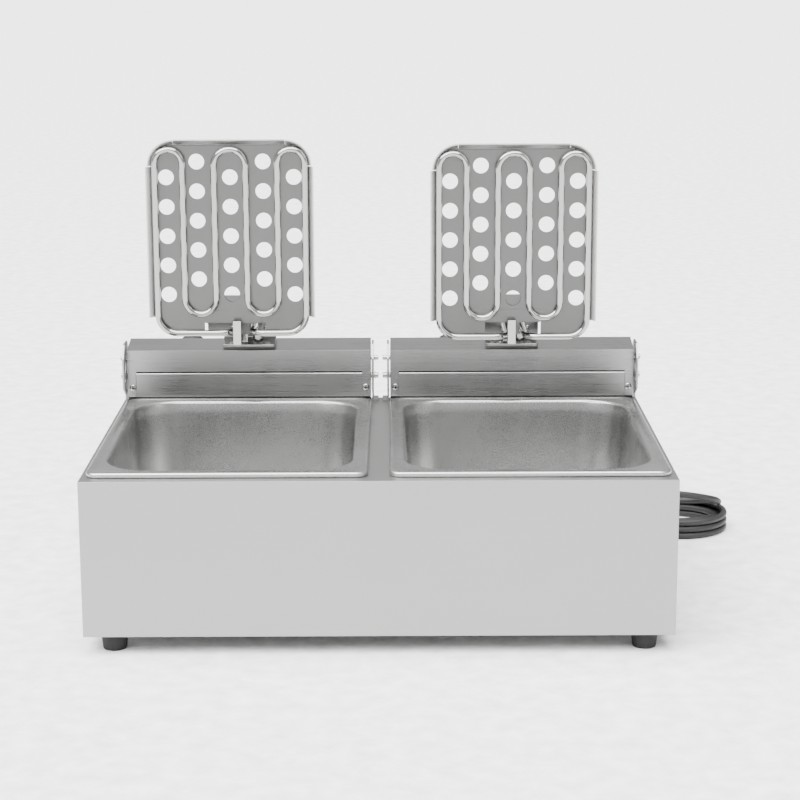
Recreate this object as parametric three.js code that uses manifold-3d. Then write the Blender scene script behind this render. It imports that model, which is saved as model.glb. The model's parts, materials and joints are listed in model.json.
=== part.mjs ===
// Twin-tank countertop donut maker: a sheet-metal casing with two lift-out oil tanks and two heater
// heads, each hinged on a pair of brackets behind its tank and shown tipped up, out of the oil.
// Millimetres, +X right, +Y back, +Z up. Z = 0 is the table. The group's origin is the middle of the
// footprint of everything but the cords.
import * as THREE from "three";
import { mergeVertices } from "three/addons/utils/BufferGeometryUtils.js";
import Module from "manifold-3d";

const wasm = await Module();
wasm.setup();

// ---------------------------------------------------------------- driving dimensions

const gap = 0.3; // left between pieces that touch

// Casing and feet
const sideStrip = 5; // deck beside each tank's rim
const middleStrip = 20; // deck between the two tanks
const frontStrip = 12; // deck in front of the tanks
const casingHeight = 151.5;
const sheet = 1.2;
const bottomFold = 12; // inward fold along the casing's lower edge
const footHeight = 18;
const footTopRadius = 13;
const footBottomRadius = 11.5;
const footInset = 27; // foot's middle from the casing's side
const footSetback = 23; // foot's middle from the casing's front and back

// Tanks
const tankWidth = 265; // over the rim
const tankDepth = 325;
const tankHeight = 100;
const tankRim = 15;
const tankRimTop = 5; // rim above the deck
const tankRimRadius = 12;
const tankMouthRadius = 45;
const tankFloorRadius = 16; // between the wall and the floor
const tankWall = 1;
const tankTaper = 6; // each wall leans in by this much from mouth to floor
const deckClearance = 2.5; // between a tank's wall and its cut-out in the deck

// Head box, measured from its pivot with the head raised: y back, z up
const pivotBehindTank = 13; // pivot behind the tank's rim
const deckBehindPivot = 10;
const pivotAboveDeck = 27;
const boxNarrower = 1; // box less than the tank in width
const boxFront = -11;
const boxBottom = -25;
const boxCorner = 4; // cut off the lower front edge, so that it swings clear of the deck
const shoulderHeight = 30;
const ridgeBack = 24;
const ridgeHeight = 37;
const boxBack = 56;
const panelFoot = -2; // lower edge of the control panel
const seamHeight = 6;
const returnFlange = 9; // the cover's front folds beside the tray
const coverScrewDrop = 17; // below the seam
const coverScrewInset = 5.5;

// Hinge
const pivotRadius = 3;
const latchRadius = 2.5;
const latchReach = 19.5; // between pivot and latch rod
const rodClearance = 0.3;
const rodOverhang = 5; // rod past its bracket
const bracketSheet = 2;
const bracketGap = 1.3; // between a bracket and the head's side
const bracketTop = 65; // above the deck
const bracketStep = 8; // height of the narrow foot
const bracketFoot = 9; // the foot reaches this far either side of the pivot
const bracketFront = -28;
const bracketBack = 12;
const footFold = 5; // the inner brackets' folds on the deck

// Element flange, stems and tube
const flangeWidth = 57;
const flangeDepth = 27;
const flangeSheet = 2.5;
const gasketSheet = 2;
const tubeRadius = 3.25;
const stemSpread = 9.3; // stem's middle from the flange's middle
const stemBack = 8;
const stemFoot = 24; // lower end of the cold stems, inside the box
const runHeight = 62; // bottom run of the tube above the pivot
const tubePlane = -92; // the tube lies this far in front of the pivot
const tubeTop = 252.5;
const tubeLow = 82; // lower bends between the upright runs
const outerRun = 77;
const middleRun = 48.5;
const innerRun = 16.3;
const elbowRadius = 14;
const outerBend = 20;
const panelShifts = { left: -10.5, right: -4 }; // each panel sits a little to one side of its flange
const panelLifts = { left: 2.5, right: -2.5 }; // and a little higher or lower

// Perforated plate behind the tube
const plateSheet = 1.2;
const plateHalfWidth = 79;
const plateTop = 257.5;
const plateBottom = 58.5;
const plateCorner = 22;
const sideRimReach = 7; // sideways reach of the slanted rims
const topRimReach = 5.7;
const rimForward = 6.5;
const sideRimLow = 79;
const sideRimHigh = 246;
const topRimHalf = 66;
const notchHalf = 29;
const notchRoom = 0.7; // beyond the elbows, where the tube passes through the notch
const notchTop = 75;
const holeRadius = 8;
const holePitch = 30.4;
const holeRows = 5;
const holeColumns = [
  { x: -65.5, top: 223.9 },
  { x: -34, top: 239.9 },
  { x: 0, top: 223.9 },
  { x: 34, top: 239.9 },
  { x: 65.5, top: 223.9 },
];

// Strap behind the plate and guard of the thermostat's bulb in front of it
const strapSheet = 1.2;
const strapWidth = 57;
const strapTop = 103.5;
const strapRun = 74; // its level run above the stems
const strapNeck = 13;
const lipFoot = 57; // lower edge of the lip at the back of its wide run
const lipSlotRoom = 1.3; // the lip's slots round the tube
const strapLeg = 14; // the leg's place behind the pivot
const upstandTop = 57;
const guardWidth = 8;
const guardLeft = -9.5;
const guardRun = 53; // its level run below the tube
const guardFront = -98.5;
const guardTop = 78;
const guardLeg = -3;

// Controls
const knobX = -66;
const knobRadius = 16;
const knobHeight = 16;
const knobShaft = 3; // its radius
const knobShaftLength = 12; // inside the panel
const knobEdge = 2;
const knobStandOff = 1; // knob above the control panel
const thermostatRadius = 17;
const thermostatDepth = 18;
const lampXs = [20, 50];
const lampRadius = 5.5;
const lampBody = 4.5; // radius behind the panel
const lampDepth = 14;
const lampHeight = 3.5;
const lampEdge = 1.5;
const resetX = -15;
const resetRadius = 4;
const resetTravel = 2;
const resetDepth = 10;
const resetTop = 3.8; // above the panel, not pressed
const resetEdge = 0.8;
const terminalLeft = 10;
const terminalWidth = 54;
const terminalFront = 20;
const terminalDepth = 18;
const terminalHeight = 14;
const glandX = 95;
const glandBack = 40;
const glandThread = 6;
const glandBody = 9;
const glandTip = 5.6;
const glandLength = 34;
const glandNut = 4;
const glandRelief = 12; // the tapered tail starts this far down
const glandShoulder = 10;
const glandEdge = 1.2;

// Cords
const cordRadius = 3.75;
const coilInner = 40;
const coilLayers = 3;
const coilTurns = 2; // side by side in each layer

// ---------------------------------------------------------------- worked-out places

const tankPitch = tankWidth + middleStrip; // between the two tanks' middles
const casingWidth = tankPitch + tankWidth + 2 * sideStrip;
const pivotBack = frontStrip + tankDepth + pivotBehindTank;
const casingDepth = pivotBack + deckBehindPivot;
const boxWidth = tankWidth - boxNarrower;
const casingBottom = footHeight;
const deckTop = footHeight + casingHeight;
const pivotZ = deckTop + pivotAboveDeck;
const tankMiddleY = frontStrip + tankDepth / 2;
const sides = { left: -1, right: 1 };
const panelNormal = new THREE.Vector3(0, ridgeHeight - panelFoot, boxBack - ridgeBack).normalize();
const panelMiddle = new THREE.Vector3(0, (ridgeBack + boxBack) / 2, (ridgeHeight + panelFoot) / 2);
const flangeSlope = Math.atan2(ridgeHeight - shoulderHeight, ridgeBack - boxFront);
const stripMiddle = new THREE.Vector3(0, (boxFront + ridgeBack) / 2, (shoulderHeight + ridgeHeight) / 2);

// ---------------------------------------------------------------- materials

const steel = { color: 0xc9cac8, metalness: 0.9, roughness: 0.35 };
const materials = {
  casing: new THREE.MeshStandardMaterial(steel),
  tank: new THREE.MeshStandardMaterial({ ...steel, roughness: 0.25 }),
  head: new THREE.MeshStandardMaterial({ ...steel, color: 0xa9aaa9, roughness: 0.4 }),
  plate: new THREE.MeshStandardMaterial({ ...steel, color: 0xaeaeac, roughness: 0.45 }),
  tube: new THREE.MeshStandardMaterial({ ...steel, color: 0xd6d6d2, roughness: 0.2 }),
  fastener: new THREE.MeshStandardMaterial({ ...steel, color: 0xbcbcba, roughness: 0.3 }),
  gasket: new THREE.MeshStandardMaterial({ color: 0x3a3a38, roughness: 0.8 }),
  rubber: new THREE.MeshStandardMaterial({ color: 0x1a1a1a, roughness: 0.8 }),
  plastic: new THREE.MeshStandardMaterial({ color: 0x202022, roughness: 0.5 }),
  ceramic: new THREE.MeshStandardMaterial({ color: 0xd8d4c8, roughness: 0.6 }),
  redLens: new THREE.MeshStandardMaterial({ color: 0xb02018, roughness: 0.2 }),
  greenLens: new THREE.MeshStandardMaterial({ color: 0x1f8a3a, roughness: 0.2 }),
  button: new THREE.MeshStandardMaterial({ color: 0xa81c14, roughness: 0.4 }),
};

// ---------------------------------------------------------------- solids and joins

function solid(geometry) {
  const flat = geometry.index ? geometry.toNonIndexed() : geometry;
  const shell = new THREE.BufferGeometry().setAttribute("position", flat.getAttribute("position"));
  const merged = mergeVertices(shell, 1e-4);
  return new wasm.Manifold(
    new wasm.Mesh({
      numProp: 3,
      vertProperties: merged.attributes.position.array,
      triVerts: new Uint32Array(merged.index.array),
    }),
  );
}

function join(...geometries) {
  return geometries.map(solid).reduce((whole, part) => whole.add(part));
}

function cut(body, ...geometries) {
  return geometries.map(solid).reduce((rest, tool) => rest.subtract(tool), body);
}

function geometryOf(body) {
  const mesh = body.getMesh();
  return new THREE.BufferGeometry()
    .setAttribute("position", new THREE.BufferAttribute(mesh.vertProperties, 3))
    .setIndex(new THREE.BufferAttribute(mesh.triVerts, 1));
}

function addPiece(parent, name, shape, material) {
  const geometry = shape.isBufferGeometry ? shape : geometryOf(shape);
  const mesh = new THREE.Mesh(geometry, material);
  mesh.name = name;
  parent.add(mesh);
  return mesh;
}

// ---------------------------------------------------------------- shape helpers

// A block between two corners.
function block(x0, x1, y0, y1, z0, z1) {
  return new THREE.BoxGeometry(x1 - x0, y1 - y0, z1 - z0).translate(
    (x0 + x1) / 2,
    (y0 + y1) / 2,
    (z0 + z1) / 2,
  );
}

function shapeOf(points, holes = []) {
  const shape = new THREE.Shape(points.map(([u, v]) => new THREE.Vector2(u, v)));
  shape.holes = holes.map((hole) => new THREE.Path(hole.map(([u, v]) => new THREE.Vector2(u, v))));
  return shape;
}

// A (y, z) outline extruded along X.
function prismX(points, x0, x1, holes) {
  const geometry = new THREE.ExtrudeGeometry(shapeOf(points, holes), { depth: x1 - x0, bevelEnabled: false });
  const turn = new THREE.Matrix4().set(0, 0, 1, x0, 1, 0, 0, 0, 0, 1, 0, 0, 0, 0, 0, 1);
  return geometry.applyMatrix4(turn);
}

// An (x, z) outline extruded along Y.
function prismY(points, y0, y1, holes) {
  const geometry = new THREE.ExtrudeGeometry(shapeOf(points, holes), { depth: y1 - y0, bevelEnabled: false });
  return geometry.rotateX(Math.PI / 2).translate(0, y1, 0);
}

// An (x, y) outline extruded along Z.
function prismZ(points, z0, z1, holes) {
  const geometry = new THREE.ExtrudeGeometry(shapeOf(points, holes), { depth: z1 - z0, bevelEnabled: false });
  return geometry.translate(0, 0, z0);
}

function cylinderX(radius, x0, x1, y, z, segments = 12) {
  return new THREE.CylinderGeometry(radius, radius, x1 - x0, segments)
    .rotateZ(Math.PI / 2)
    .translate((x0 + x1) / 2, y, z);
}

function cylinderZ(radius, z0, z1, x, y, segments = 12) {
  return new THREE.CylinderGeometry(radius, radius, z1 - z0, segments)
    .rotateX(Math.PI / 2)
    .translate(x, y, (z0 + z1) / 2);
}

// A solid of revolution about Z from (radius, z) pairs that start and end on the axis, going up.
function turned(profile, segments = 12) {
  const points = profile.map(([radius, z]) => new THREE.Vector2(radius, z));
  return new THREE.LatheGeometry(points, segments).rotateX(Math.PI / 2);
}

function circle(x, y, radius, segments = 10) {
  return Array.from({ length: segments }, (_, i) => {
    const angle = (2 * Math.PI * i) / segments;
    return [x + radius * Math.cos(angle), y + radius * Math.sin(angle)];
  });
}

// A rectangle with round corners, centred on (x, y).
function roundedRectangle(width, depth, radius, x = 0, y = 0, steps = 4) {
  const corners = [
    [1, 1, 0],
    [-1, 1, 1],
    [-1, -1, 2],
    [1, -1, 3],
  ];
  return corners.flatMap(([sx, sy, quarter]) =>
    Array.from({ length: steps + 1 }, (_, i) => {
      const angle = ((quarter + i / steps) * Math.PI) / 2;
      return [
        x + sx * (width / 2 - radius) + radius * Math.cos(angle),
        y + sy * (depth / 2 - radius) + radius * Math.sin(angle),
      ];
    }),
  );
}

// A closed body through a stack of outlines with equal counts of points, capped at both ends.
function stack(levels) {
  const count = levels[0].outline.length;
  const positions = [];
  levels.forEach(({ outline, z }) => outline.forEach(([x, y]) => positions.push(x, y, z)));
  const ends = [levels[0], levels.at(-1)].map(({ outline, z }) => {
    const sum = outline.reduce(([x, y], point) => [x + point[0], y + point[1]], [0, 0]);
    positions.push(sum[0] / count, sum[1] / count, z);
    return positions.length / 3 - 1;
  });
  const faces = [];
  for (let level = 0; level + 1 < levels.length; level += 1) {
    for (let i = 0; i < count; i += 1) {
      const a = level * count + i;
      const b = level * count + ((i + 1) % count);
      faces.push(a, b, b + count, a, b + count, a + count);
    }
  }
  const last = (levels.length - 1) * count;
  for (let i = 0; i < count; i += 1) {
    const next = (i + 1) % count;
    faces.push(ends[0], next, i, ends[1], last + i, last + next);
  }
  return new THREE.BufferGeometry()
    .setAttribute("position", new THREE.Float32BufferAttribute(positions, 3))
    .setIndex(faces);
}

// An outline moved inwards by a distance; its points run counter-clockwise and it is convex.
function inset(points, distance) {
  const lines = points.map(([x, y], i) => {
    const [nextX, nextY] = points[(i + 1) % points.length];
    const length = Math.hypot(nextX - x, nextY - y);
    const normal = [-(nextY - y) / length, (nextX - x) / length];
    return { normal, reach: normal[0] * x + normal[1] * y + distance };
  });
  return lines.map(({ normal: b, reach: bReach }, i) => {
    const { normal: a, reach: aReach } = lines.at(i - 1);
    const cross = a[0] * b[1] - a[1] * b[0];
    return [(aReach * b[1] - bReach * a[1]) / cross, (bReach * a[0] - aReach * b[0]) / cross];
  });
}

// A path given by its own rings: straight where it runs straight, and a few rings in each bend.
class RingPath extends THREE.Curve {
  constructor(rings) {
    super();
    this.rings = rings;
  }

  ringAt(u) {
    return Math.round(u * (this.rings.length - 1));
  }

  getPoint(u, target = new THREE.Vector3()) {
    return target.copy(this.rings[this.ringAt(u)]);
  }

  getPointAt(u, target) {
    return this.getPoint(u, target);
  }

  getTangentAt(u, target = new THREE.Vector3()) {
    const i = this.ringAt(u);
    const before = this.rings[Math.max(i - 1, 0)];
    const after = this.rings[Math.min(i + 1, this.rings.length - 1)];
    return target.subVectors(after, before).normalize();
  }
}

// Rounds the corners of a polyline: each inner point carries its bend radius.
function bentPath(corners, stepsPerBend = 4) {
  const rings = [new THREE.Vector3(...corners[0].at)];
  for (let i = 1; i + 1 < corners.length; i += 1) {
    const corner = new THREE.Vector3(...corners[i].at);
    const incoming = new THREE.Vector3(...corners[i - 1].at).sub(corner).normalize();
    const outgoing = new THREE.Vector3(...corners[i + 1].at).sub(corner).normalize();
    const half = incoming.angleTo(outgoing) / 2;
    const radius = corners[i].radius;
    const towardsCentre = incoming.clone().add(outgoing).normalize();
    const centre = corner.clone().addScaledVector(towardsCentre, radius / Math.sin(half));
    const start = corner.clone().addScaledVector(incoming, radius / Math.tan(half));
    const from = start.clone().sub(centre);
    const axis = incoming.clone().cross(outgoing).normalize();
    const sweep = Math.PI - 2 * half;
    for (let step = 0; step <= stepsPerBend; step += 1) {
      const arm = from.clone().applyAxisAngle(axis, (-sweep * step) / stepsPerBend);
      const ring = centre.clone().add(arm);
      if (ring.distanceTo(rings.at(-1)) > gap) rings.push(ring);
    }
  }
  rings.push(new THREE.Vector3(...corners.at(-1).at));
  return new RingPath(rings);
}

function tubeAlong(path, radius, segments = 8) {
  return new THREE.ExtrudeGeometry(shapeOf(circle(0, 0, radius, segments)), {
    steps: path.rings.length - 1,
    bevelEnabled: false,
    extrudePath: path,
  });
}

// ---------------------------------------------------------------- casing

const mouthWidth = tankWidth - 2 * tankRim;
const mouthDepth = tankDepth - 2 * tankRim;

function deckOpening(side) {
  const reach = 2 * (tankWall + deckClearance);
  const x = (side * tankPitch) / 2;
  const radius = tankMouthRadius + reach / 2;
  return roundedRectangle(mouthWidth + reach, mouthDepth + reach, radius, x, tankMiddleY);
}

function makeCasing(parent) {
  const halfWidth = casingWidth / 2;
  const inner = halfWidth - sheet;
  const outside = block(-halfWidth, halfWidth, 0, casingDepth, casingBottom, deckTop);
  const inside = block(-inner, inner, sheet, casingDepth + 1, casingBottom + sheet, deckTop - sheet);
  const mouth = inner - bottomFold;
  const floorOpening = block(
    -mouth,
    mouth,
    sheet + bottomFold,
    casingDepth + 1,
    casingBottom - 1,
    casingBottom + 2,
  );
  const openings = Object.values(sides).map((side) =>
    prismZ(deckOpening(side), deckTop - 2 * sheet, deckTop + 1),
  );
  addPiece(parent, "body_shell", cut(solid(outside), inside, floorOpening, ...openings), materials.casing);

  const backReach = inner - gap;
  const backPanel = block(
    -backReach,
    backReach,
    casingDepth - sheet,
    casingDepth,
    casingBottom + sheet + gap,
    deckTop - sheet - gap,
  );
  addPiece(parent, "back_panel", backPanel, materials.casing);

  const plateReach = inner - gap;
  const plateBase = casingBottom + sheet + gap;
  const bottomPlate = block(
    -plateReach,
    plateReach,
    sheet + gap,
    casingDepth - sheet - gap,
    plateBase,
    plateBase + sheet,
  );
  addPiece(parent, "bottom_plate", bottomPlate, materials.casing);
}

function makeFeet(parent) {
  const top = footHeight - gap;
  const profile = [
    [0, 0],
    [footBottomRadius, 0],
    [footTopRadius, top],
    [0, top],
  ];
  for (const [sideName, side] of Object.entries(sides)) {
    for (const [endName, y] of Object.entries({ front: footSetback, back: casingDepth - footSetback })) {
      const foot = addPiece(parent, `foot_${endName}_${sideName}`, turned(profile), materials.rubber);
      foot.position.set(side * (casingWidth / 2 - footInset), y, 0);
    }
  }
}

// ---------------------------------------------------------------- tanks

// One pressed tank: floor, leaning walls, flat rim and the rim's edge turned down to the deck.
function tankGeometry() {
  const rimBottom = gap - tankRimTop;
  const floorDrop = -tankHeight;
  const floorTaper = tankTaper + tankFloorRadius * 0.3;
  const level = (reach, radius, z) => ({
    outline: roundedRectangle(mouthWidth + 2 * reach, mouthDepth + 2 * reach, radius),
    z,
  });
  const mouthLip = 2; // the walls roll into the rim over this height
  return stack([
    level(tankWall - floorTaper - tankFloorRadius * 0.7, tankMouthRadius - tankFloorRadius, floorDrop),
    level(tankWall - floorTaper, tankMouthRadius - tankTaper, floorDrop + tankFloorRadius * 0.3),
    level(tankWall - tankTaper, tankMouthRadius - tankTaper / 2, floorDrop + tankFloorRadius),
    level(tankWall, tankMouthRadius, -tankWall),
    level(tankRim - tankWall, tankRimRadius - tankWall, -tankWall),
    level(tankRim - tankWall, tankRimRadius - tankWall, rimBottom),
    level(tankRim, tankRimRadius, rimBottom),
    level(tankRim, tankRimRadius, -tankWall),
    level(tankRim - tankWall, tankRimRadius - tankWall, 0),
    level(mouthLip, tankMouthRadius + mouthLip, 0),
    level(0, tankMouthRadius, -mouthLip),
    level(-tankTaper, tankMouthRadius - tankTaper / 2, floorDrop + tankFloorRadius),
    level(-floorTaper, tankMouthRadius - tankTaper - tankWall, floorDrop + tankFloorRadius * 0.3 + tankWall),
    level(
      -floorTaper - tankFloorRadius * 0.7,
      tankMouthRadius - tankFloorRadius - tankWall,
      floorDrop + tankWall,
    ),
  ]);
}

function makeTanks(parent) {
  for (const [sideName, side] of Object.entries(sides)) {
    const tank = addPiece(parent, `tank_${sideName}`, tankGeometry(), materials.tank);
    tank.position.set((side * tankPitch) / 2, tankMiddleY, deckTop + tankRimTop);
  }
}

// ---------------------------------------------------------------- brackets

// The latch rod's arc slot in (y, z) from the pivot: straight up with the head raised, forward lowered.
function latchSlot() {
  const half = latchRadius + rodClearance;
  const steps = 8;
  const outer = [];
  const inner = [];
  for (let i = 0; i <= steps; i += 1) {
    const angle = Math.PI / 2 + (i / steps) * (Math.PI / 2);
    outer.push([(latchReach + half) * Math.cos(angle), (latchReach + half) * Math.sin(angle)]);
    inner.push([(latchReach - half) * Math.cos(angle), (latchReach - half) * Math.sin(angle)]);
  }
  return [...outer, ...inner.reverse()];
}

// One bracket plate, flat in X, from the pivot: its hole, its arc slot and the outline of its foot.
function bracketGeometry(foldSide) {
  const low = gap - pivotAboveDeck;
  const step = bracketStep - pivotAboveDeck;
  const top = bracketTop - pivotAboveDeck;
  const outline = [
    [-bracketFoot, low],
    [bracketFoot, low],
    [bracketFoot, step],
    [bracketBack, step + 6],
    [bracketBack, top - 6],
    [bracketBack - 6, top],
    [bracketFront + 10, top],
    [bracketFront, top - 14],
    [bracketFront, step + 10],
    [-bracketFoot, step],
  ];
  const plate = prismX(outline, -bracketSheet / 2, bracketSheet / 2);
  const ends = [
    cylinderX(latchRadius + rodClearance, -bracketSheet, bracketSheet, 0, latchReach),
    cylinderX(latchRadius + rodClearance, -bracketSheet, bracketSheet, -latchReach, 0),
  ];
  const pivotHole = cylinderX(pivotRadius + rodClearance, -bracketSheet, bracketSheet, 0, 0);
  const slot = prismX(latchSlot(), -bracketSheet, bracketSheet);
  const body = foldSide
    ? join(
        plate,
        block(
          Math.min(0, foldSide * (footFold + bracketSheet / 2)),
          Math.max(0, foldSide * (footFold + bracketSheet / 2)),
          -bracketFoot,
          bracketFoot,
          low,
          low + bracketSheet,
        ),
      )
    : solid(plate);
  return cut(body, pivotHole, slot, ...ends);
}

function makeBrackets(parent) {
  for (const [sideName, side] of Object.entries(sides)) {
    for (const [endName, end] of Object.entries({ inner: -1, outer: 1 })) {
      const fold = end < 0 ? -side : 0;
      const name = `bracket_${sideName}_${endName}`;
      const bracket = addPiece(parent, name, bracketGeometry(fold), materials.head);
      const reach = boxWidth / 2 + bracketGap + bracketSheet / 2;
      bracket.position.set((side * tankPitch) / 2 + side * end * reach, pivotBack, pivotZ);
    }
  }
}

// ---------------------------------------------------------------- head box

const boxOutline = [
  [boxFront + boxCorner, boxBottom],
  [boxBack, boxBottom],
  [boxBack, panelFoot],
  [ridgeBack, ridgeHeight],
  [boxFront, shoulderHeight],
  [boxFront, boxBottom + boxCorner],
];

// Cylinders through the control panel, along its normal, at the given places across the head.
function panelBore(x, radius) {
  return new THREE.CylinderGeometry(radius, radius, 12, 12)
    .rotateX(Math.PI / 2)
    .rotateX(-panelTilt)
    .translate(x, panelMiddle.y, panelMiddle.z);
}

const panelTilt = Math.atan2(panelNormal.y, panelNormal.z); // of the panel's normal from upright, back

function coverGeometry() {
  const half = boxWidth / 2;
  const inner = half - sheet;
  const shell = prismX(boxOutline, -half, half);
  const cavity = prismX(inset(boxOutline, sheet), -inner, inner);
  const window = half - returnFlange;
  const frontWindow = block(-window, window, boxFront - 1, boxFront + sheet + 1, boxBottom - 1, seamHeight);
  const underside = block(
    -inner,
    inner,
    boxFront + boxCorner,
    boxBack - sheet,
    boxBottom - 1,
    boxBottom + 2 * sheet,
  );
  const cornerWindow = block(
    -window,
    window,
    boxFront - 1,
    boxFront + boxCorner + 1,
    boxBottom - 1,
    boxBottom + boxCorner + 2 * sheet,
  );
  const pivotHole = cylinderX(pivotRadius + rodClearance, -half - 1, half + 1, 0, 0);
  const latchHole = cylinderX(latchRadius + rodClearance, -half - 1, half + 1, 0, latchReach);
  const stemHoles = [-1, 1].map((end) =>
    cylinderZ(tubeRadius + 2 * gap, shoulderHeight - 4, ridgeHeight + 4, end * stemSpread, stemBack),
  );
  const screwHoles = [-1, 1].map((end) => coverScrewBore(end, screwShank + gap));
  return cut(
    solid(shell),
    cavity,
    frontWindow,
    underside,
    cornerWindow,
    pivotHole,
    latchHole,
    ...stemHoles,
    ...screwHoles,
    panelBore(knobX, knobShaft + 1),
    panelBore(resetX, resetRadius + gap),
    ...lampXs.map((x) => panelBore(x, lampBody + gap)),
  );
}

const screwShank = 2;
const screwHead = 3.6;
const screwHeadHeight = 1.8;
const screwLength = 6;

function coverScrewBore(end, radius) {
  return new THREE.CylinderGeometry(radius, radius, 8, 12).translate(
    end * (boxWidth / 2 - coverScrewInset),
    boxFront + sheet,
    seamHeight - coverScrewDrop,
  );
}

// The tray: the lower front and the underside in one fold, with a tab behind each of the cover's folds.
function trayGeometry() {
  const half = boxWidth / 2;
  const window = half - returnFlange - gap;
  const inner = half - sheet - gap;
  const fold = sheet * 0.4;
  const section = [
    [boxFront, seamHeight - gap],
    [boxFront, boxBottom + boxCorner],
    [boxFront + boxCorner, boxBottom],
    [boxFront + boxCorner + 4, boxBottom],
    [boxFront + boxCorner + 4, boxBottom + sheet],
    [boxFront + boxCorner + fold, boxBottom + sheet],
    [boxFront + sheet, boxBottom + boxCorner + fold],
    [boxFront + sheet, seamHeight - gap],
  ];
  const front = prismX(section, -window, window);
  const bottomFront = boxFront + boxCorner + sheet + gap;
  const bottom = block(-inner, inner, bottomFront, boxBack - sheet - gap, boxBottom, boxBottom + sheet);
  const tabFront = boxFront + sheet + gap;
  const tabs = [-1, 1].flatMap((end) => {
    const [x0, x1] = [end * (window - 5), end * inner].sort((a, b) => a - b);
    const [j0, j1] = [end * (window - 5), end * window].sort((a, b) => a - b);
    return [
      block(x0, x1, tabFront, tabFront + sheet, boxBottom + boxCorner + sheet, seamHeight - 2),
      block(j0, j1, boxFront + sheet / 2, tabFront + sheet, boxBottom + boxCorner + sheet, seamHeight - 2),
    ];
  });
  const screwBores = [-1, 1].map((end) => coverScrewBore(end, screwShank + gap));
  const glandHole = cylinderZ(glandThread + gap, boxBottom - 1, boxBottom + 2 * sheet, glandX, glandBack);
  return cut(join(front, bottom, ...tabs), ...screwBores, glandHole);
}

function screwGeometry() {
  return turned([
    [0, -screwLength],
    [screwShank, -screwLength],
    [screwShank, 0],
    [screwHead, 0],
    [screwHead * 0.9, screwHeadHeight * 0.6],
    [screwHead * 0.55, screwHeadHeight],
    [0, screwHeadHeight],
  ], 10);
}

// ---------------------------------------------------------------- flange and element

// A plate of the flange, its holes where the upright stems pass it at its own height on the strip.
function flangePlate(thickness, seat) {
  const outline = roundedRectangle(flangeWidth, flangeDepth, 3, 0, 0, 2);
  const middle = seat + thickness / 2;
  const stemOffset = (stemBack - stripMiddle.y + middle * Math.sin(flangeSlope)) / Math.cos(flangeSlope);
  const holes = [-1, 1].map((end) =>
    circle(end * stemSpread, stemOffset, tubeRadius + 3 * gap, 12).reverse(),
  );
  return prismZ(outline, 0, thickness, holes);
}

function elementGeometry({ shift, lift }) {
  const corner = (x, z, radius) => ({ at: [x, tubePlane, z + lift], radius });
  const outerTop = (outerRun - middleRun) / 2;
  const lowBend = (middleRun - innerRun) / 2;
  const halfLoop = [
    { at: [stemSpread, stemBack, runHeight + lift], radius: elbowRadius },
    corner(stemSpread, runHeight, elbowRadius),
    corner(shift + outerRun, runHeight, outerBend),
    corner(shift + outerRun, tubeTop, outerTop),
    corner(shift + middleRun, tubeTop, outerTop),
    corner(shift + middleRun, tubeLow, lowBend),
    corner(shift + innerRun, tubeLow, lowBend),
    corner(shift + innerRun, tubeTop, innerRun),
  ];
  const mirrored = halfLoop.map(({ at: [x, y, z], radius }, i) => ({
    at: [i < 2 ? -x : 2 * shift - x, y, z],
    radius,
  }));
  const corners = [
    { at: [-stemSpread, stemBack, stemFoot] },
    ...mirrored,
    ...halfLoop.reverse(),
    { at: [stemSpread, stemBack, stemFoot] },
  ];
  return tubeAlong(bentPath(corners), tubeRadius);
}

// The height above the pivot that clears the flange's top at a place behind the pivot.
function aboveFlange(back) {
  const strip = shoulderHeight + (back - boxFront) * Math.tan(flangeSlope);
  return strip + (3 * gap + gasketSheet + flangeSheet) / Math.cos(flangeSlope) + gap;
}

const plateFront = tubePlane + tubeRadius + gap;
const plateBack = plateFront + plateSheet;

function plateGeometry({ shift, lift }) {
  const elbowReach = stemSpread + elbowRadius + notchRoom;
  const holes = holeColumns.flatMap(({ x, top }) =>
    Array.from({ length: holeRows }, (_, row) =>
      circle(shift + x, top + lift - row * holePitch, holeRadius).reverse(),
    ),
  );
  const top = plateTop + lift;
  const middle = lift + (plateTop + plateBottom) / 2;
  const outline = roundedRectangle(2 * plateHalfWidth, plateTop - plateBottom, plateCorner, shift, middle);
  const flat = solid(prismY(outline, plateFront, plateBack, holes));
  const notch = block(
    Math.min(shift - notchHalf, -elbowReach),
    Math.max(shift + notchHalf, elbowReach),
    plateFront - 1,
    plateBack + 1,
    plateBottom + lift - 1,
    notchTop,
  );
  const root = 1.5; // the rims start this far inside the plate's edge
  const sideRims = [-1, 1].map((end) => {
    const at = (x, y) => [shift + end * x, y];
    const section = [
      at(plateHalfWidth - root, plateBack),
      at(plateHalfWidth - root, plateFront),
      at(plateHalfWidth, plateFront),
      at(plateHalfWidth + sideRimReach - plateSheet, plateFront - rimForward),
      at(plateHalfWidth + sideRimReach, plateFront - rimForward),
      at(plateHalfWidth + plateSheet, plateBack),
    ];
    const points = end > 0 ? section.reverse() : section;
    return prismZ(points, sideRimLow + lift, sideRimHigh + lift);
  });
  const topSection = [
    [plateBack, top - root],
    [plateBack, top + plateSheet],
    [plateFront - rimForward, top + topRimReach],
    [plateFront - rimForward, top + topRimReach - plateSheet],
    [plateFront, top],
    [plateFront, top - root],
  ];
  const topRim = prismX(topSection, shift - topRimHalf, shift + topRimHalf);
  const rims = [...sideRims, topRim].map(solid);
  return cut(rims.reduce((whole, rim) => whole.add(rim), flat), notch);
}

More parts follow.
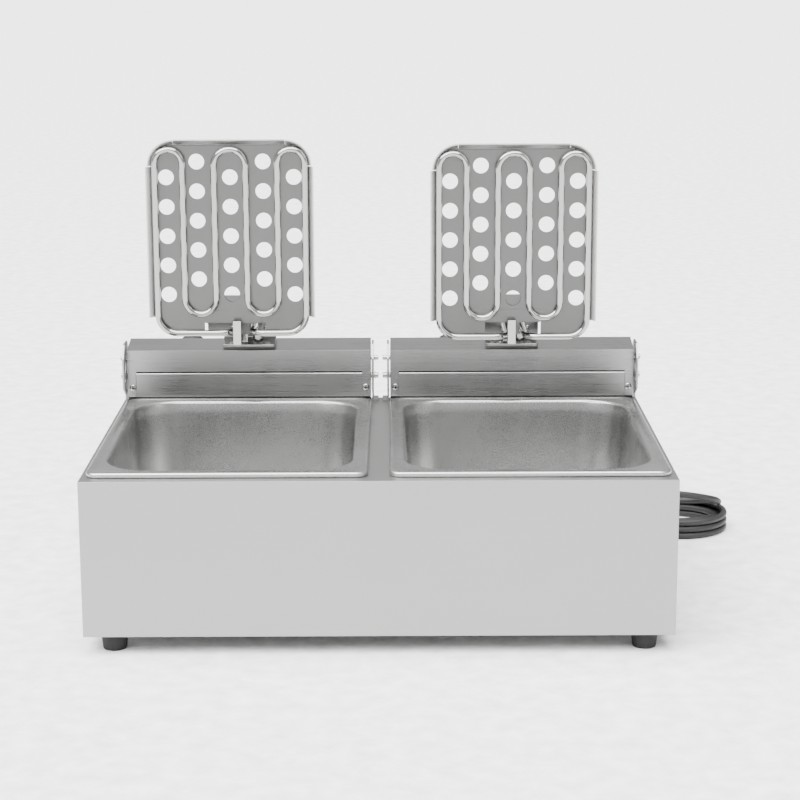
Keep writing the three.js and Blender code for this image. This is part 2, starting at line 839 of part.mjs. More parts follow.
// The strap: a leaf behind the plate, a level run over the stems and a leg down to the flange.
function strapGeometry(shift) {
  const half = strapWidth / 2;
  const neck = strapNeck / 2;
  const leafFront = plateBack + gap;
  const lipBack = leafFront + flangeDepth;
  const legBack = strapLeg + strapSheet;
  const foot = aboveFlange(legBack);
  const runTop = strapRun + strapSheet;
  const shape = join(
    block(shift - half, shift + half, leafFront, leafFront + strapSheet, strapRun, strapTop),
    block(shift - half, shift + half, leafFront, lipBack, strapRun, runTop),
    block(shift - half, shift + half, lipBack - strapSheet, lipBack, lipFoot, runTop),
    block(-neck, neck, leafFront, legBack, strapRun, runTop),
    block(-neck, neck, strapLeg, legBack, foot, runTop),
    block(-half, half, strapLeg, legBack, foot, upstandTop),
  );
  const slotHalf = tubeRadius + lipSlotRoom;
  const slotTop = runHeight + tubeRadius + Math.max(...Object.values(panelLifts)) + lipSlotRoom;
  const slots = [-stemSpread, stemSpread].map((x) =>
    block(x - slotHalf, x + slotHalf, lipBack - strapSheet - 1, lipBack + 1, lipFoot - 1, slotTop),
  );
  return cut(shape, ...slots);
}

// The bulb's guard: a strip from the flange under the tube's run, hooked up in front of it.
function guardGeometry() {
  const t = strapSheet;
  const foot = aboveFlange(guardLeg + t);
  const section = [
    [guardLeg, foot],
    [guardLeg + t, foot],
    [guardLeg + t, guardRun + t],
    [guardFront + t, guardRun + t],
    [guardFront + t, guardTop - t],
    [plateFront - gap, guardTop - t],
    [plateFront - gap, guardTop],
    [guardFront, guardTop],
    [guardFront, guardRun],
    [guardLeg, guardRun],
  ];
  return prismX(section, guardLeft, guardLeft + guardWidth);
}

// ---------------------------------------------------------------- controls

// A group whose +Z is the control panel's normal, at the panel's outer face.
function onPanel(head, x) {
  const seat = new THREE.Group();
  seat.position.copy(panelMiddle).setX(x);
  seat.rotation.x = -panelTilt;
  head.add(seat);
  return seat;
}

function makeControls(head, sideName) {
  const knobSeat = onPanel(head, knobX);
  const shaftDepth = sheet + knobShaftLength;
  const knob = turned([
    [0, -shaftDepth],
    [knobShaft, -shaftDepth],
    [knobShaft, knobStandOff],
    [knobRadius, knobStandOff],
    [knobRadius, knobHeight - knobEdge],
    [knobRadius - knobEdge, knobHeight],
    [0, knobHeight],
  ], 16);
  addPiece(knobSeat, `knob_${sideName}`, knob, materials.plastic);

  const bodyTop = -sheet - gap;
  const bodyBottom = bodyTop - thermostatDepth;
  const bore = knobShaft + gap;
  const boreFloor = -shaftDepth - gap;
  const thermostat = turned([
    [0, bodyBottom],
    [thermostatRadius, bodyBottom],
    [thermostatRadius, bodyTop],
    [bore, bodyTop],
    [bore, boreFloor],
    [0, boreFloor],
  ], 12);
  addPiece(knobSeat, `thermostat_${sideName}`, thermostat, materials.ceramic);

  lampXs.forEach((x, i) => {
    const lamp = turned([
      [0, -lampDepth],
      [lampBody, -lampDepth],
      [lampBody, gap],
      [lampRadius, gap],
      [lampRadius, lampHeight - lampEdge],
      [lampRadius - lampEdge, lampHeight],
      [0, lampHeight],
    ], 12);
    const lens = i === 0 ? materials.greenLens : materials.redLens;
    addPiece(onPanel(head, x), `lamp_${i === 0 ? "power" : "heat"}_${sideName}`, lamp, lens);
  });

  const button = turned([
    [0, -resetDepth],
    [resetRadius - gap, -resetDepth],
    [resetRadius - gap, resetTop - resetEdge],
    [resetRadius - gap - resetEdge, resetTop],
    [0, resetTop],
  ], 12);
  addPiece(onPanel(head, resetX), `reset_button_${sideName}`, button, materials.button);
}

function makeWiring(head, sideName) {
  const floor = boxBottom + sheet + gap;
  const terminals = block(
    terminalLeft,
    terminalLeft + terminalWidth,
    terminalFront,
    terminalFront + terminalDepth,
    floor,
    floor + terminalHeight,
  );
  addPiece(head, `terminal_block_${sideName}`, terminals, materials.ceramic);

  const nutTop = sheet + gap + glandNut;
  const collar = -gap;
  const gland = turned([
    [0, -glandLength],
    [glandTip, -glandLength],
    [glandTip + glandEdge, -glandRelief],
    [glandBody - glandEdge, -glandShoulder],
    [glandBody, collar - glandEdge],
    [glandBody, collar],
    [glandThread, collar],
    [glandThread, sheet + gap],
    [glandBody, sheet + gap],
    [glandBody, nutTop],
    [0, nutTop],
  ], 12);
  const piece = addPiece(head, `cable_gland_${sideName}`, gland, materials.plastic);
  piece.position.set(glandX, glandBack, boxBottom);
}

// ---------------------------------------------------------------- heads

function makeHead(parent, sideName) {
  const head = new THREE.Group();
  head.position.set((sides[sideName] * tankPitch) / 2, pivotBack, pivotZ);
  parent.add(head);

  addPiece(head, `head_cover_${sideName}`, coverGeometry(), materials.head);
  addPiece(head, `head_tray_${sideName}`, trayGeometry(), materials.head);
  for (const [endName, end] of Object.entries({ a: -1, b: 1 })) {
    const screw = addPiece(head, `cover_screw_${sideName}_${endName}`, screwGeometry(), materials.fastener);
    screw.rotation.x = Math.PI / 2;
    screw.position.set(
      end * (boxWidth / 2 - coverScrewInset),
      boxFront - gap,
      seamHeight - coverScrewDrop,
    );
  }

  const rodReach = boxWidth / 2 + bracketGap + bracketSheet + rodOverhang;
  addPiece(
    head,
    `pivot_rod_${sideName}`,
    cylinderX(pivotRadius, -rodReach, rodReach, 0, 0),
    materials.fastener,
  );
  addPiece(
    head,
    `latch_rod_${sideName}`,
    cylinderX(latchRadius, -rodReach, rodReach, 0, latchReach),
    materials.fastener,
  );

  const flangeSeat = new THREE.Group();
  flangeSeat.position.copy(stripMiddle);
  flangeSeat.rotation.x = flangeSlope;
  head.add(flangeSeat);
  const layers = [
    ["flange_gasket", gap, gasketSheet, materials.gasket],
    ["element_flange", 2 * gap + gasketSheet, flangeSheet, materials.fastener],
  ];
  for (const [layer, seat, thickness, material] of layers) {
    const piece = addPiece(flangeSeat, `${layer}_${sideName}`, flangePlate(thickness, seat), material);
    piece.position.z = seat;
  }

  const panel = { shift: panelShifts[sideName], lift: panelLifts[sideName] };
  addPiece(head, `heating_element_${sideName}`, elementGeometry(panel), materials.tube);
  addPiece(head, `perforated_plate_${sideName}`, plateGeometry(panel), materials.plate);
  addPiece(head, `panel_strap_${sideName}`, strapGeometry(panel.shift), materials.plate);
  addPiece(head, `bulb_guard_${sideName}`, guardGeometry(), materials.plate);
  makeControls(head, sideName);
  makeWiring(head, sideName);
}

// ---------------------------------------------------------------- cords

const coilWidth = 2 * cordRadius * coilTurns;
const coilHeight = 2 * cordRadius * coilLayers;

// Each cord from its gland's tip to its coil, chosen by hand; z above the table.
const cords = {
  left: {
    coil: [-150, 432],
    route: [
      [-47.5, 390, 137],
      [-47.5, 390, 107],
      [-54, 390, 80],
      [-70, 392, 58],
      [-90, 399, 45],
      [-103, 415, 35],
      [-106.3, 434, 27.2],
    ],
  },
  right: {
    coil: [341, 432],
    route: [
      [237.5, 390, 137],
      [237.5, 390, 107],
      [246, 390, 80],
      [272, 388, 60],
      [310, 388, 53],
      [348, 391, 48],
      [374, 401, 41],
      [383.5, 416, 34],
      [384.7, 434, 27.2],
    ],
  },
};

const plugLength = 46;
const plugRadius = 15;
const plugRelief = 30;
const reliefTip = cordRadius + 1;
const plugTurn = THREE.MathUtils.degToRad(22); // outwards from the coil's tangent

// A moulded plug on its side: tapered relief, round body and three flat pins in one moulding.
function plugGeometry() {
  const body = turned([
    [0, 0],
    [reliefTip, 0],
    [reliefTip + 2, plugRelief],
    [plugRadius - 2, plugRelief + 4],
    [plugRadius, plugRelief + 12],
    [plugRadius, plugRelief + plugLength],
    [0, plugRelief + plugLength],
  ], 14);
  const face = plugRelief + plugLength;
  const pins = [
    [-6.35, -3.2],
    [6.35, -3.2],
  ].map(([x, y]) => block(x - 0.8, x + 0.8, y - 3.2, y + 3.2, face - 2, face + 17));
  const earth = cylinderZ(2.4, face - 2, face + 20, 0, 8, 10);
  return join(body, ...pins, earth);
}

function makeCord(parent, sideName) {
  const { coil, route } = cords[sideName];
  const curve = new THREE.CatmullRomCurve3(route.map((point) => new THREE.Vector3(...point)));
  const rings = curve.getSpacedPoints(Math.ceil(curve.getLength() / (5 * cordRadius)));
  addPiece(parent, `cord_${sideName}`, tubeAlong(new RingPath(rings), cordRadius), materials.rubber);

  const ring = turned([
    [coilInner, 0],
    [coilInner + coilWidth, 0],
    [coilInner + coilWidth, coilHeight],
    [coilInner, coilHeight],
    [coilInner, 0],
  ], 24);
  const coilPiece = addPiece(parent, `cord_coil_${sideName}`, ring, materials.rubber);
  coilPiece.position.set(coil[0], coil[1], 0);

  const plug = addPiece(parent, `plug_${sideName}`, plugGeometry(), materials.rubber);
  const heading = new THREE.Vector3(-Math.cos(plugTurn), Math.sin(plugTurn), 0);
  plug.quaternion.setFromUnitVectors(new THREE.Vector3(0, 0, 1), heading);
  plug.position.set(coil[0], coil[1] + coilInner + coilWidth + gap + reliefTip, plugRadius);
}

// ---------------------------------------------------------------- assembly

const machine = new THREE.Group();
makeCasing(machine);
makeFeet(machine);
makeBrackets(machine);
makeTanks(machine);
makeHead(machine, "left");
makeHead(machine, "right");

machine.updateMatrixWorld(true);
const footprint = new THREE.Box3().setFromObject(machine, true);
machine.position.y = -(footprint.min.y + footprint.max.y) / 2;
makeCord(machine, "left");
makeCord(machine, "right");

export default machine;
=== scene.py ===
"""Twin-tank countertop donut maker: the visible surfaces, finishes, lights and camera.

Metres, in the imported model's own frame: +X right, +Y back, +Z up, z = 0 on the table. Each
sub-assembly is a class that holds its sizes, builds its meshes from numpy surfaces and dresses
them; each finish is a frozen dataclass that builds one node material.
"""

import json
import logging
import math
from dataclasses import dataclass, field
from enum import Enum
from typing import Iterable, Sequence

import bmesh
import bpy
import numpy as np
from mathutils import Matrix, Vector


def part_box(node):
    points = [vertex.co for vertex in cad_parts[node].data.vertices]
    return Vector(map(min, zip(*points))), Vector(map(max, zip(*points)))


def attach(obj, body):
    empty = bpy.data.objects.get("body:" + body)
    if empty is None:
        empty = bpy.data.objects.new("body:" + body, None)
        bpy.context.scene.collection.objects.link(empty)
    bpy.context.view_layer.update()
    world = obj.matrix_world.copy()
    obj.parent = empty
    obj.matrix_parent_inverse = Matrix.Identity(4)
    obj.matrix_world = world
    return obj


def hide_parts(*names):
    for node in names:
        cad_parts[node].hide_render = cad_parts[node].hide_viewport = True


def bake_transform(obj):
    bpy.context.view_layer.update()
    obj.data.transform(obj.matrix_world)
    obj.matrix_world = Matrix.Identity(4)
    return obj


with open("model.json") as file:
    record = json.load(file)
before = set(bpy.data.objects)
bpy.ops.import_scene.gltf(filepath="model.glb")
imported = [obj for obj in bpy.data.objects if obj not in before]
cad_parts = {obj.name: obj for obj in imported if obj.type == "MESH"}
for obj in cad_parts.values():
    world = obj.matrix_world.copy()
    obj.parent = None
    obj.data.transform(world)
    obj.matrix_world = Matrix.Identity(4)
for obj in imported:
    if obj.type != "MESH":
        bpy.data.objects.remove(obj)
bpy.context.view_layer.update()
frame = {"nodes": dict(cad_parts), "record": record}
logging.basicConfig(level=logging.INFO, format="%(message)s")
log = logging.getLogger("donut_maker")

MM = 0.001


class Side(Enum):
    """The two halves of the machine."""

    LEFT = "left"
    RIGHT = "right"

    @property
    def sign(self) -> int:
        """Minus one on the left, plus one on the right."""
        return -1 if self is Side.LEFT else 1


class Grain(Enum):
    """The direction in which a sheet was brushed."""

    ACROSS = (5.0, 900.0, 900.0)
    DEEP = (900.0, 5.0, 900.0)
    UPRIGHT = (900.0, 900.0, 5.0)
    SATIN = (1100.0, 1100.0, 1100.0)


# ------------------------------------------------------------------ meshes from numpy


@dataclass
class Patch:
    """A piece of surface: its points and its faces, as lists of point numbers."""

    points: np.ndarray
    faces: list[list[int]]

    def placed(self, matrix: np.ndarray) -> "Patch":
        """The patch moved and turned by a 4 by 4 matrix.

        Args:
            matrix: the placing matrix.

        Returns:
            A new patch.
        """
        moved = self.points @ matrix[:3, :3].T + matrix[:3, 3]
        return Patch(moved, self.faces)


def basis(origin: Sequence[float], x: Sequence[float], y: Sequence[float], z: Sequence[float]) -> np.ndarray:
    """A 4 by 4 matrix from an origin and three axes.

    Args:
        origin: where the local origin goes.
        x: the local X axis.
        y: the local Y axis.
        z: the local Z axis.

    Returns:
        The matrix that places local points.
    """
    matrix = np.eye(4)
    matrix[:3, 0] = x
    matrix[:3, 1] = y
    matrix[:3, 2] = z
    matrix[:3, 3] = origin
    return matrix


def along_x(origin: Sequence[float]) -> np.ndarray:
    """Local Z along world X, local X along world Y."""
    return basis(origin, (0, 1, 0), (0, 0, 1), (1, 0, 0))


def facing_front(origin: Sequence[float]) -> np.ndarray:
    """Local Z out of a front face, local Y up."""
    return basis(origin, (1, 0, 0), (0, 0, 1), (0, -1, 0))


def facing_back(origin: Sequence[float]) -> np.ndarray:
    """Local Z out of a back face, local Y up."""
    return basis(origin, (-1, 0, 0), (0, 0, 1), (0, 1, 0))


def upright(origin: Sequence[float]) -> np.ndarray:
    """Local axes as the world's."""
    return basis(origin, (1, 0, 0), (0, 1, 0), (0, 0, 1))


def grid_patch(points: np.ndarray, wrap_across: bool = True, capped: bool = False) -> Patch:
    """A patch on a grid of points, whose faces join each row to the next.

    Args:
        points: rows by columns by 3.
        wrap_across: whether each row closes on itself.
        capped: whether the first and last rows are closed by one face each.

    Returns:
        The patch.
    """
    rows, columns = points.shape[:2]
    row = np.arange(rows - 1)[:, None] * columns
    column = np.arange(columns if wrap_across else columns - 1)[None, :]
    following = (column + 1) % columns
    quads = np.stack([row + column, row + following, row + columns + following, row + columns + column], axis=-1)
    faces = quads.reshape(-1, 4).tolist()
    if capped:
        faces.append(list(range(columns))[::-1])
        faces.append(list(range((rows - 1) * columns, rows * columns)))
    return Patch(points.reshape(-1, 3), faces)


def circle(radius: float, sides: int, centre: Sequence[float] = (0.0, 0.0)) -> np.ndarray:
    """Points round a circle: the centre plus the radius times (cos, sin) of the angle."""
    angle = np.linspace(0, 2 * np.pi, sides, endpoint=False)
    return np.column_stack([centre[0] + radius * np.cos(angle), centre[1] + radius * np.sin(angle)])


def turned(profile: Sequence[Sequence[float]], sides: int = 48) -> Patch:
    """A surface of revolution about local Z: each (radius, z) of the profile swept round the axis.

    Args:
        profile: (radius, z) pairs that start and end on the axis.
        sides: how many columns go round.

    Returns:
        The patch; its poles are merged when the object is made.
    """
    line = np.asarray(profile, dtype=float)
    ring = circle(1.0, sides)
    points = np.empty((len(line), sides, 3))
    points[..., :2] = line[:, None, :1] * ring[None]
    points[..., 2] = line[:, None, 1]
    return grid_patch(points)


def rounded_rectangle(width: float, depth: float, radius: float, steps: int = 12) -> np.ndarray:
    """An outline of four quarter circles about the corners' centres, counter-clockwise.

    Args:
        width: overall size along X.
        depth: overall size along Y.
        radius: the corners' radius.
        steps: points in each quarter, less one.

    Returns:
        The outline's points.
    """
    quarter = np.arange(4)[:, None]
    angle = (quarter + np.linspace(0, 1, steps + 1)[None]) * np.pi / 2
    sign_x = np.array([1, -1, -1, 1])[:, None]
    sign_y = np.array([1, 1, -1, -1])[:, None]
    x = sign_x * (width / 2 - radius) + radius * np.cos(angle)
    y = sign_y * (depth / 2 - radius) + radius * np.sin(angle)
    return np.column_stack([x.ravel(), y.ravel()])


def bent_line(corners: Sequence[Sequence[float]], radii: Sequence[float], steps: int = 10) -> np.ndarray:
    """A polyline whose inner corners are arcs: centre plus radius times the turning arm.

    Args:
        corners: the polyline's points.
        radii: the bend radius at each inner corner.
        steps: points in each arc, less one.

    Returns:
        The line's points.
    """
    at = np.asarray(corners, dtype=float)
    radius = np.asarray(radii, dtype=float)[:, None]
    incoming = at[:-2] - at[1:-1]
    outgoing = at[2:] - at[1:-1]
    incoming /= np.linalg.norm(incoming, axis=1, keepdims=True)
    outgoing /= np.linalg.norm(outgoing, axis=1, keepdims=True)
    half = np.arccos(np.clip((incoming * outgoing).sum(axis=1, keepdims=True), -1, 1)) / 2
    inward = incoming + outgoing
    inward /= np.linalg.norm(inward, axis=1, keepdims=True)
    centre = at[1:-1] + inward * radius / np.sin(half)
    start = at[1:-1] + incoming * radius / np.tan(half)
    arm = start - centre
    side = np.cross(np.cross(incoming, outgoing), arm)
    side *= -radius / np.linalg.norm(side, axis=1, keepdims=True)
    sweep = (np.pi - 2 * half)[:, None] * np.linspace(0, 1, steps + 1)[None, :, None]
    arcs = centre[:, None] + arm[:, None] * np.cos(sweep) + side[:, None] * np.sin(sweep)
    line = np.concatenate([at[:1], arcs.reshape(-1, 3), at[-1:]])
    gaps = np.linalg.norm(np.diff(line, axis=0), axis=1)
    return line[np.concatenate([[True], gaps > 1e-5])]


def smooth_line(route: Sequence[Sequence[float]], steps: int = 10) -> np.ndarray:
    """A Catmull-Rom curve through a route: on each span a cubic of its two ends and their slopes.

    Args:
        route: the points passed through.
        steps: points on each span.

    Returns:
        The curve's points.
    """
    at = np.asarray(route, dtype=float)
    padded = np.concatenate([[2 * at[0] - at[1]], at, [2 * at[-1] - at[-2]]])
    before, start, end, after = padded[:-3], padded[1:-2], padded[2:-1], padded[3:]
    t = np.linspace(0, 1, steps, endpoint=False)[None, :, None]
    before, start, end, after = (each[:, None] for each in (before, start, end, after))
    curve = 0.5 * (
        2 * start
        + (end - before) * t
        + (2 * before - 5 * start + 4 * end - after) * t**2
        + (3 * start - before - 3 * end + after) * t**3
    )
    return np.concatenate([curve.reshape(-1, 3), at[-1:]])


def swept(line: np.ndarray, radius: float | np.ndarray, sides: int = 20) -> Patch:
    """A round tube: at each point of the line, a circle in the plane across the line.

    Each ring's frame is the one before it, turned as little as the line turns.

    Args:
        line: the centre line's points.
        radius: the tube's radius, the same all along or one for each point.
        sides: how many columns go round.

    Returns:
        The patch, closed at both ends.
    """
    tangent = np.gradient(line, axis=0)
    tangent /= np.linalg.norm(tangent, axis=1, keepdims=True)
    reference = np.array([0.0, 0.0, 1.0]) if abs(tangent[0, 2]) < 0.9 else np.array([1.0, 0.0, 0.0])
    normals = np.empty_like(line)
    for i, direction in enumerate(tangent):
        reference = reference - direction * (reference @ direction)
        reference /= np.linalg.norm(reference)
        normals[i] = reference
    binormals = np.cross(tangent, normals)
    ring = circle(1.0, sides)
    reach = np.broadcast_to(np.asarray(radius, dtype=float), (len(line),))[:, None, None]
    offset = normals[:, None] * ring[None, :, :1] + binormals[:, None] * ring[None, :, 1:]
    return grid_patch(line[:, None] + reach * offset, capped=True)


def prism(outline: Sequence[Sequence[float]], low: float, high: float) -> Patch:
    """An outline in local (x, y) carried straight from z = low to z = high, with flat ends."""
    flat = np.asarray(outline, dtype=float)
    points = np.empty((2, len(flat), 3))
    points[..., :2] = flat
    points[0, :, 2] = low
    points[1, :, 2] = high
    return grid_patch(points, capped=True)


def sheet(outlines: Iterable[np.ndarray], thickness: float, edge: float = 0.15 * MM) -> Patch:
    """A flat plate with holes: a filled plane curve given its thickness and softened edges.

    Args:
        outlines: the outer outline first, then the holes.
        thickness: from local z = 0 up.
        edge: how far the edges are softened.

    Returns:
        The patch.
    """
    curve = bpy.data.curves.new("outline", "CURVE")
    curve.dimensions = "2D"
    curve.fill_mode = "BOTH"
    curve.extrude = thickness / 2 - edge
    curve.bevel_depth = edge
    curve.bevel_resolution = 1
    curve.offset = -edge
    for outline in outlines:
        spline = curve.splines.new("POLY")
        spline.points.add(len(outline) - 1)
        spline.points.foreach_set("co", np.column_stack([outline, np.zeros(len(outline)), np.ones(len(outline))]).ravel())
        spline.use_cyclic_u = True
    holder = bpy.data.objects.new("outline", curve)
    bpy.context.scene.collection.objects.link(holder)
    mesh = bpy.data.meshes.new_from_object(holder.evaluated_get(bpy.context.evaluated_depsgraph_get()))
    points = np.empty(len(mesh.vertices) * 3)
    mesh.vertices.foreach_get("co", points)
    faces = [list(polygon.vertices) for polygon in mesh.polygons]
    bpy.data.objects.remove(holder)
    bpy.data.meshes.remove(mesh)
    points = points.reshape(-1, 3)
    points[:, 2] += thickness / 2
    return Patch(points, faces)


def finish_mesh(mesh: bpy.types.Mesh, angle: float = 35.0, weld: float = 2e-6) -> None:
    """Merges doubles, points the faces outwards and smooths all but the sharp edges.

    Args:
        mesh: the mesh.
        angle: edges sharper than this many degrees stay sharp.
        weld: points closer than this become one.
    """
    work = bmesh.new()
    work.from_mesh(mesh)
    bmesh.ops.remove_doubles(work, verts=work.verts, dist=weld)
    bmesh.ops.recalc_face_normals(work, faces=work.faces)
    work.to_mesh(mesh)
    work.free()
    mesh.polygons.foreach_set("use_smooth", np.ones(len(mesh.polygons), dtype=bool))
    mesh.set_sharp_from_angle(angle=math.radians(angle))


def new_piece(name: str, patches: Iterable[Patch], angle: float = 35.0) -> bpy.types.Object:
    """One object from some patches.

    Args:
        name: the object's name.
        patches: its patches, in the frame's own place.
        angle: edges sharper than this many degrees stay sharp.

    Returns:
        The object, at the origin.
    """
    points: list[np.ndarray] = []
    faces: list[list[int]] = []
    start = 0
    for patch in patches:
        points.append(patch.points)
        faces.extend([[start + corner for corner in face] for face in patch.faces])
        start += len(patch.points)
    mesh = bpy.data.meshes.new(name)
    mesh.from_pydata(np.concatenate(points).tolist(), [], faces)
    finish_mesh(mesh, angle)
    piece = bpy.data.objects.new(name, mesh)
    bpy.context.scene.collection.objects.link(piece)
    return piece


def soften(piece: bpy.types.Object, width: float, segments: int = 2) -> bpy.types.Object:
    """Gives a piece's sharp edges a rounded fold.

    Args:
        piece: the piece.
        width: the fold's size.
        segments: faces across the fold.

    Returns:
        The same piece.
    """
    bevel = piece.modifiers.new("fold", "BEVEL")
    bevel.width = width
    bevel.segments = segments
    bevel.limit_method = "ANGLE"
    bevel.angle_limit = math.radians(35)
    bevel.harden_normals = True
    return piece


def refined(node: str, width: float, segments: int = 2) -> bpy.types.Object:
    """A CAD node's own shape with its loose triangles merged and its edges softened.

    Args:
        node: the node that the new piece stands for.
        width: how far the edges are rounded.
        segments: faces across each edge.

    Returns:
        The new piece, which replaces the node.
    """
    mesh = frame["nodes"][node].data.copy()
    mesh.name = f"{node}_sheet"
    mesh.materials.clear()
    work = bmesh.new()
    work.from_mesh(mesh)
    bmesh.ops.remove_doubles(work, verts=work.verts, dist=1e-5)
    bmesh.ops.dissolve_limit(work, angle_limit=math.radians(0.5), verts=work.verts, edges=work.edges)
    work.to_mesh(mesh)
    work.free()
    mesh.polygons.foreach_set("use_smooth", np.ones(len(mesh.polygons), dtype=bool))
    mesh.set_sharp_from_angle(angle=math.radians(35))
    piece = bpy.data.objects.new(f"{node}_sheet", mesh)
    bpy.context.scene.collection.objects.link(piece)
    soften(piece, width, segments)
    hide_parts(node)
    return piece


# ------------------------------------------------------------------ finishes


class NodeTree:
    """A material's node tree, with short ways to add and join nodes."""

    def __init__(self, name: str) -> None:
        """Starts an empty material with its shader.

        Args:
            name: the material's name.
        """
        self.material = bpy.data.materials.new(name)
        self.material.use_nodes = True
        self.tree = self.material.node_tree
        self.tree.nodes.clear()
        self.shader = self.add("ShaderNodeBsdfPrincipled")
        output = self.add("ShaderNodeOutputMaterial")
        self.join(self.shader.outputs["BSDF"], output.inputs["Surface"])
        self.place = self.add("ShaderNodeTexCoord").outputs["Object"]

    def add(self, kind: str, **values: object) -> bpy.types.Node:
        """Adds a node and sets its inputs by name."""
        node = self.tree.nodes.new(kind)
        for name, value in values.items():
            node.inputs[name].default_value = value
        return node

    def join(self, source: bpy.types.NodeSocket, target: bpy.types.NodeSocket) -> None:
        """Links an output to an input."""
        self.tree.links.new(source, target)

    def noise(self, scale: Sequence[float], detail: float = 3.0) -> bpy.types.NodeSocket:
        """Noise at so many cells to the metre along X, Y and Z; returns its strength."""
        mapping = self.add("ShaderNodeMapping", Scale=tuple(scale))
        self.join(self.place, mapping.inputs["Vector"])
        texture = self.add("ShaderNodeTexNoise", Scale=1.0, Detail=detail, Roughness=0.55)
        self.join(mapping.outputs["Vector"], texture.inputs["Vector"])
        return texture.outputs["Fac"]

    def spread(self, source: bpy.types.NodeSocket, low: float, high: float) -> bpy.types.NodeSocket:
        """Maps the middle of a noise, 0.3 to 0.7, onto low to high."""
        node = self.add("ShaderNodeMapRange")
        for name, value in {"From Min": 0.3, "From Max": 0.7, "To Min": low, "To Max": high}.items():
            node.inputs[name].default_value = value
        self.join(source, node.inputs["Value"])
        return node.outputs["Result"]

    def blend(self, factor: bpy.types.NodeSocket, low: Sequence[float], high: Sequence[float]) -> bpy.types.NodeSocket:
        """A colour between two tones."""
        ramp = self.tree.nodes.new("ShaderNodeValToRGB")
        ramp.color_ramp.elements[0].position = 0.3
        ramp.color_ramp.elements[0].color = (*low, 1)
        ramp.color_ramp.elements[1].position = 0.7
        ramp.color_ramp.elements[1].color = (*high, 1)
        self.join(factor, ramp.inputs["Fac"])
        return ramp.outputs["Color"]

    def multiply(self, first: bpy.types.NodeSocket, second: bpy.types.NodeSocket) -> bpy.types.NodeSocket:
        """Two colours multiplied."""
        mix = self.tree.nodes.new("ShaderNodeMix")
        mix.data_type = "RGBA"
        mix.blend_type = "MULTIPLY"
        mix.inputs["Factor"].default_value = 1.0
        self.join(first, mix.inputs["A"])
        self.join(second, mix.inputs["B"])
        return next(socket for socket in mix.outputs if socket.type == "RGBA")

    def bump(self, height: bpy.types.NodeSocket, strength: float, distance: float) -> None:
        """Roughens the shader's normal by a height."""
        bump = self.add("ShaderNodeBump", Strength=strength, Distance=distance)
        self.join(height, bump.inputs["Height"])
        self.join(bump.outputs["Normal"], self.shader.inputs["Normal"])


def shade(tone: Sequence[float], factor: float) -> tuple[float, ...]:
    """A tone made lighter or darker, channel by channel."""
    return tuple(min(channel * factor, 1.0) for channel in tone)


@dataclass(frozen=True)
class Steel:
    """Stainless steel: brushed lines or a satin grain, with faint smudges of handling."""

    name: str
    tone: tuple[float, float, float]
    roughness: float
    grain: Grain
    contrast: float = 0.06
    relief: float = 0.12
    smudge: float = 0.05

    def build(self) -> bpy.types.Material:
        """The material: two noises set the tone and the roughness, and the finer one the relief."""
        nodes = NodeTree(self.name)
        lines = nodes.noise(self.grain.value, 4.0)
        marks = nodes.noise((11.0, 11.0, 11.0), 3.0)
        tone = nodes.blend(lines, shade(self.tone, 1 - self.contrast), shade(self.tone, 1 + self.contrast))
        cloud = nodes.blend(marks, (1 - self.smudge,) * 3, (1.0, 1.0, 1.0))
        nodes.join(nodes.multiply(tone, cloud), nodes.shader.inputs["Base Color"])
        sum_node = nodes.tree.nodes.new("ShaderNodeMath")
        sum_node.operation = "ADD"
        nodes.join(nodes.spread(lines, self.roughness - 0.04, self.roughness + 0.05), sum_node.inputs[0])
        nodes.join(nodes.spread(marks, -0.02, 0.05), sum_node.inputs[1])
        nodes.join(sum_node.outputs["Value"], nodes.shader.inputs["Roughness"])
        nodes.shader.inputs["Metallic"].default_value = 1.0
        nodes.bump(lines, self.relief, 0.02 * MM)
        return nodes.material


@dataclass(frozen=True)
class Moulded:
    """Moulded plastic, rubber or ceramic: an even tone with a fine skin grain."""

    name: str
    tone: tuple[float, float, float]
    roughness: float
    grain: float = 1400.0
    relief: float = 0.25
    coat: float = 0.0

    def build(self) -> bpy.types.Material:
        """The material: a fine noise for the skin and a broad one for wear and dust."""
        nodes = NodeTree(self.name)
        skin = nodes.noise((self.grain,) * 3, 2.0)
        wear = nodes.noise((45.0,) * 3, 4.0)
        tone = nodes.blend(wear, shade(self.tone, 0.88), shade(self.tone, 1.15))
        nodes.join(tone, nodes.shader.inputs["Base Color"])
        nodes.join(nodes.spread(wear, self.roughness - 0.06, self.roughness + 0.08), nodes.shader.inputs["Roughness"])
        nodes.shader.inputs["Coat Weight"].default_value = self.coat
        nodes.bump(skin, self.relief, 0.05 * MM)
        return nodes.material


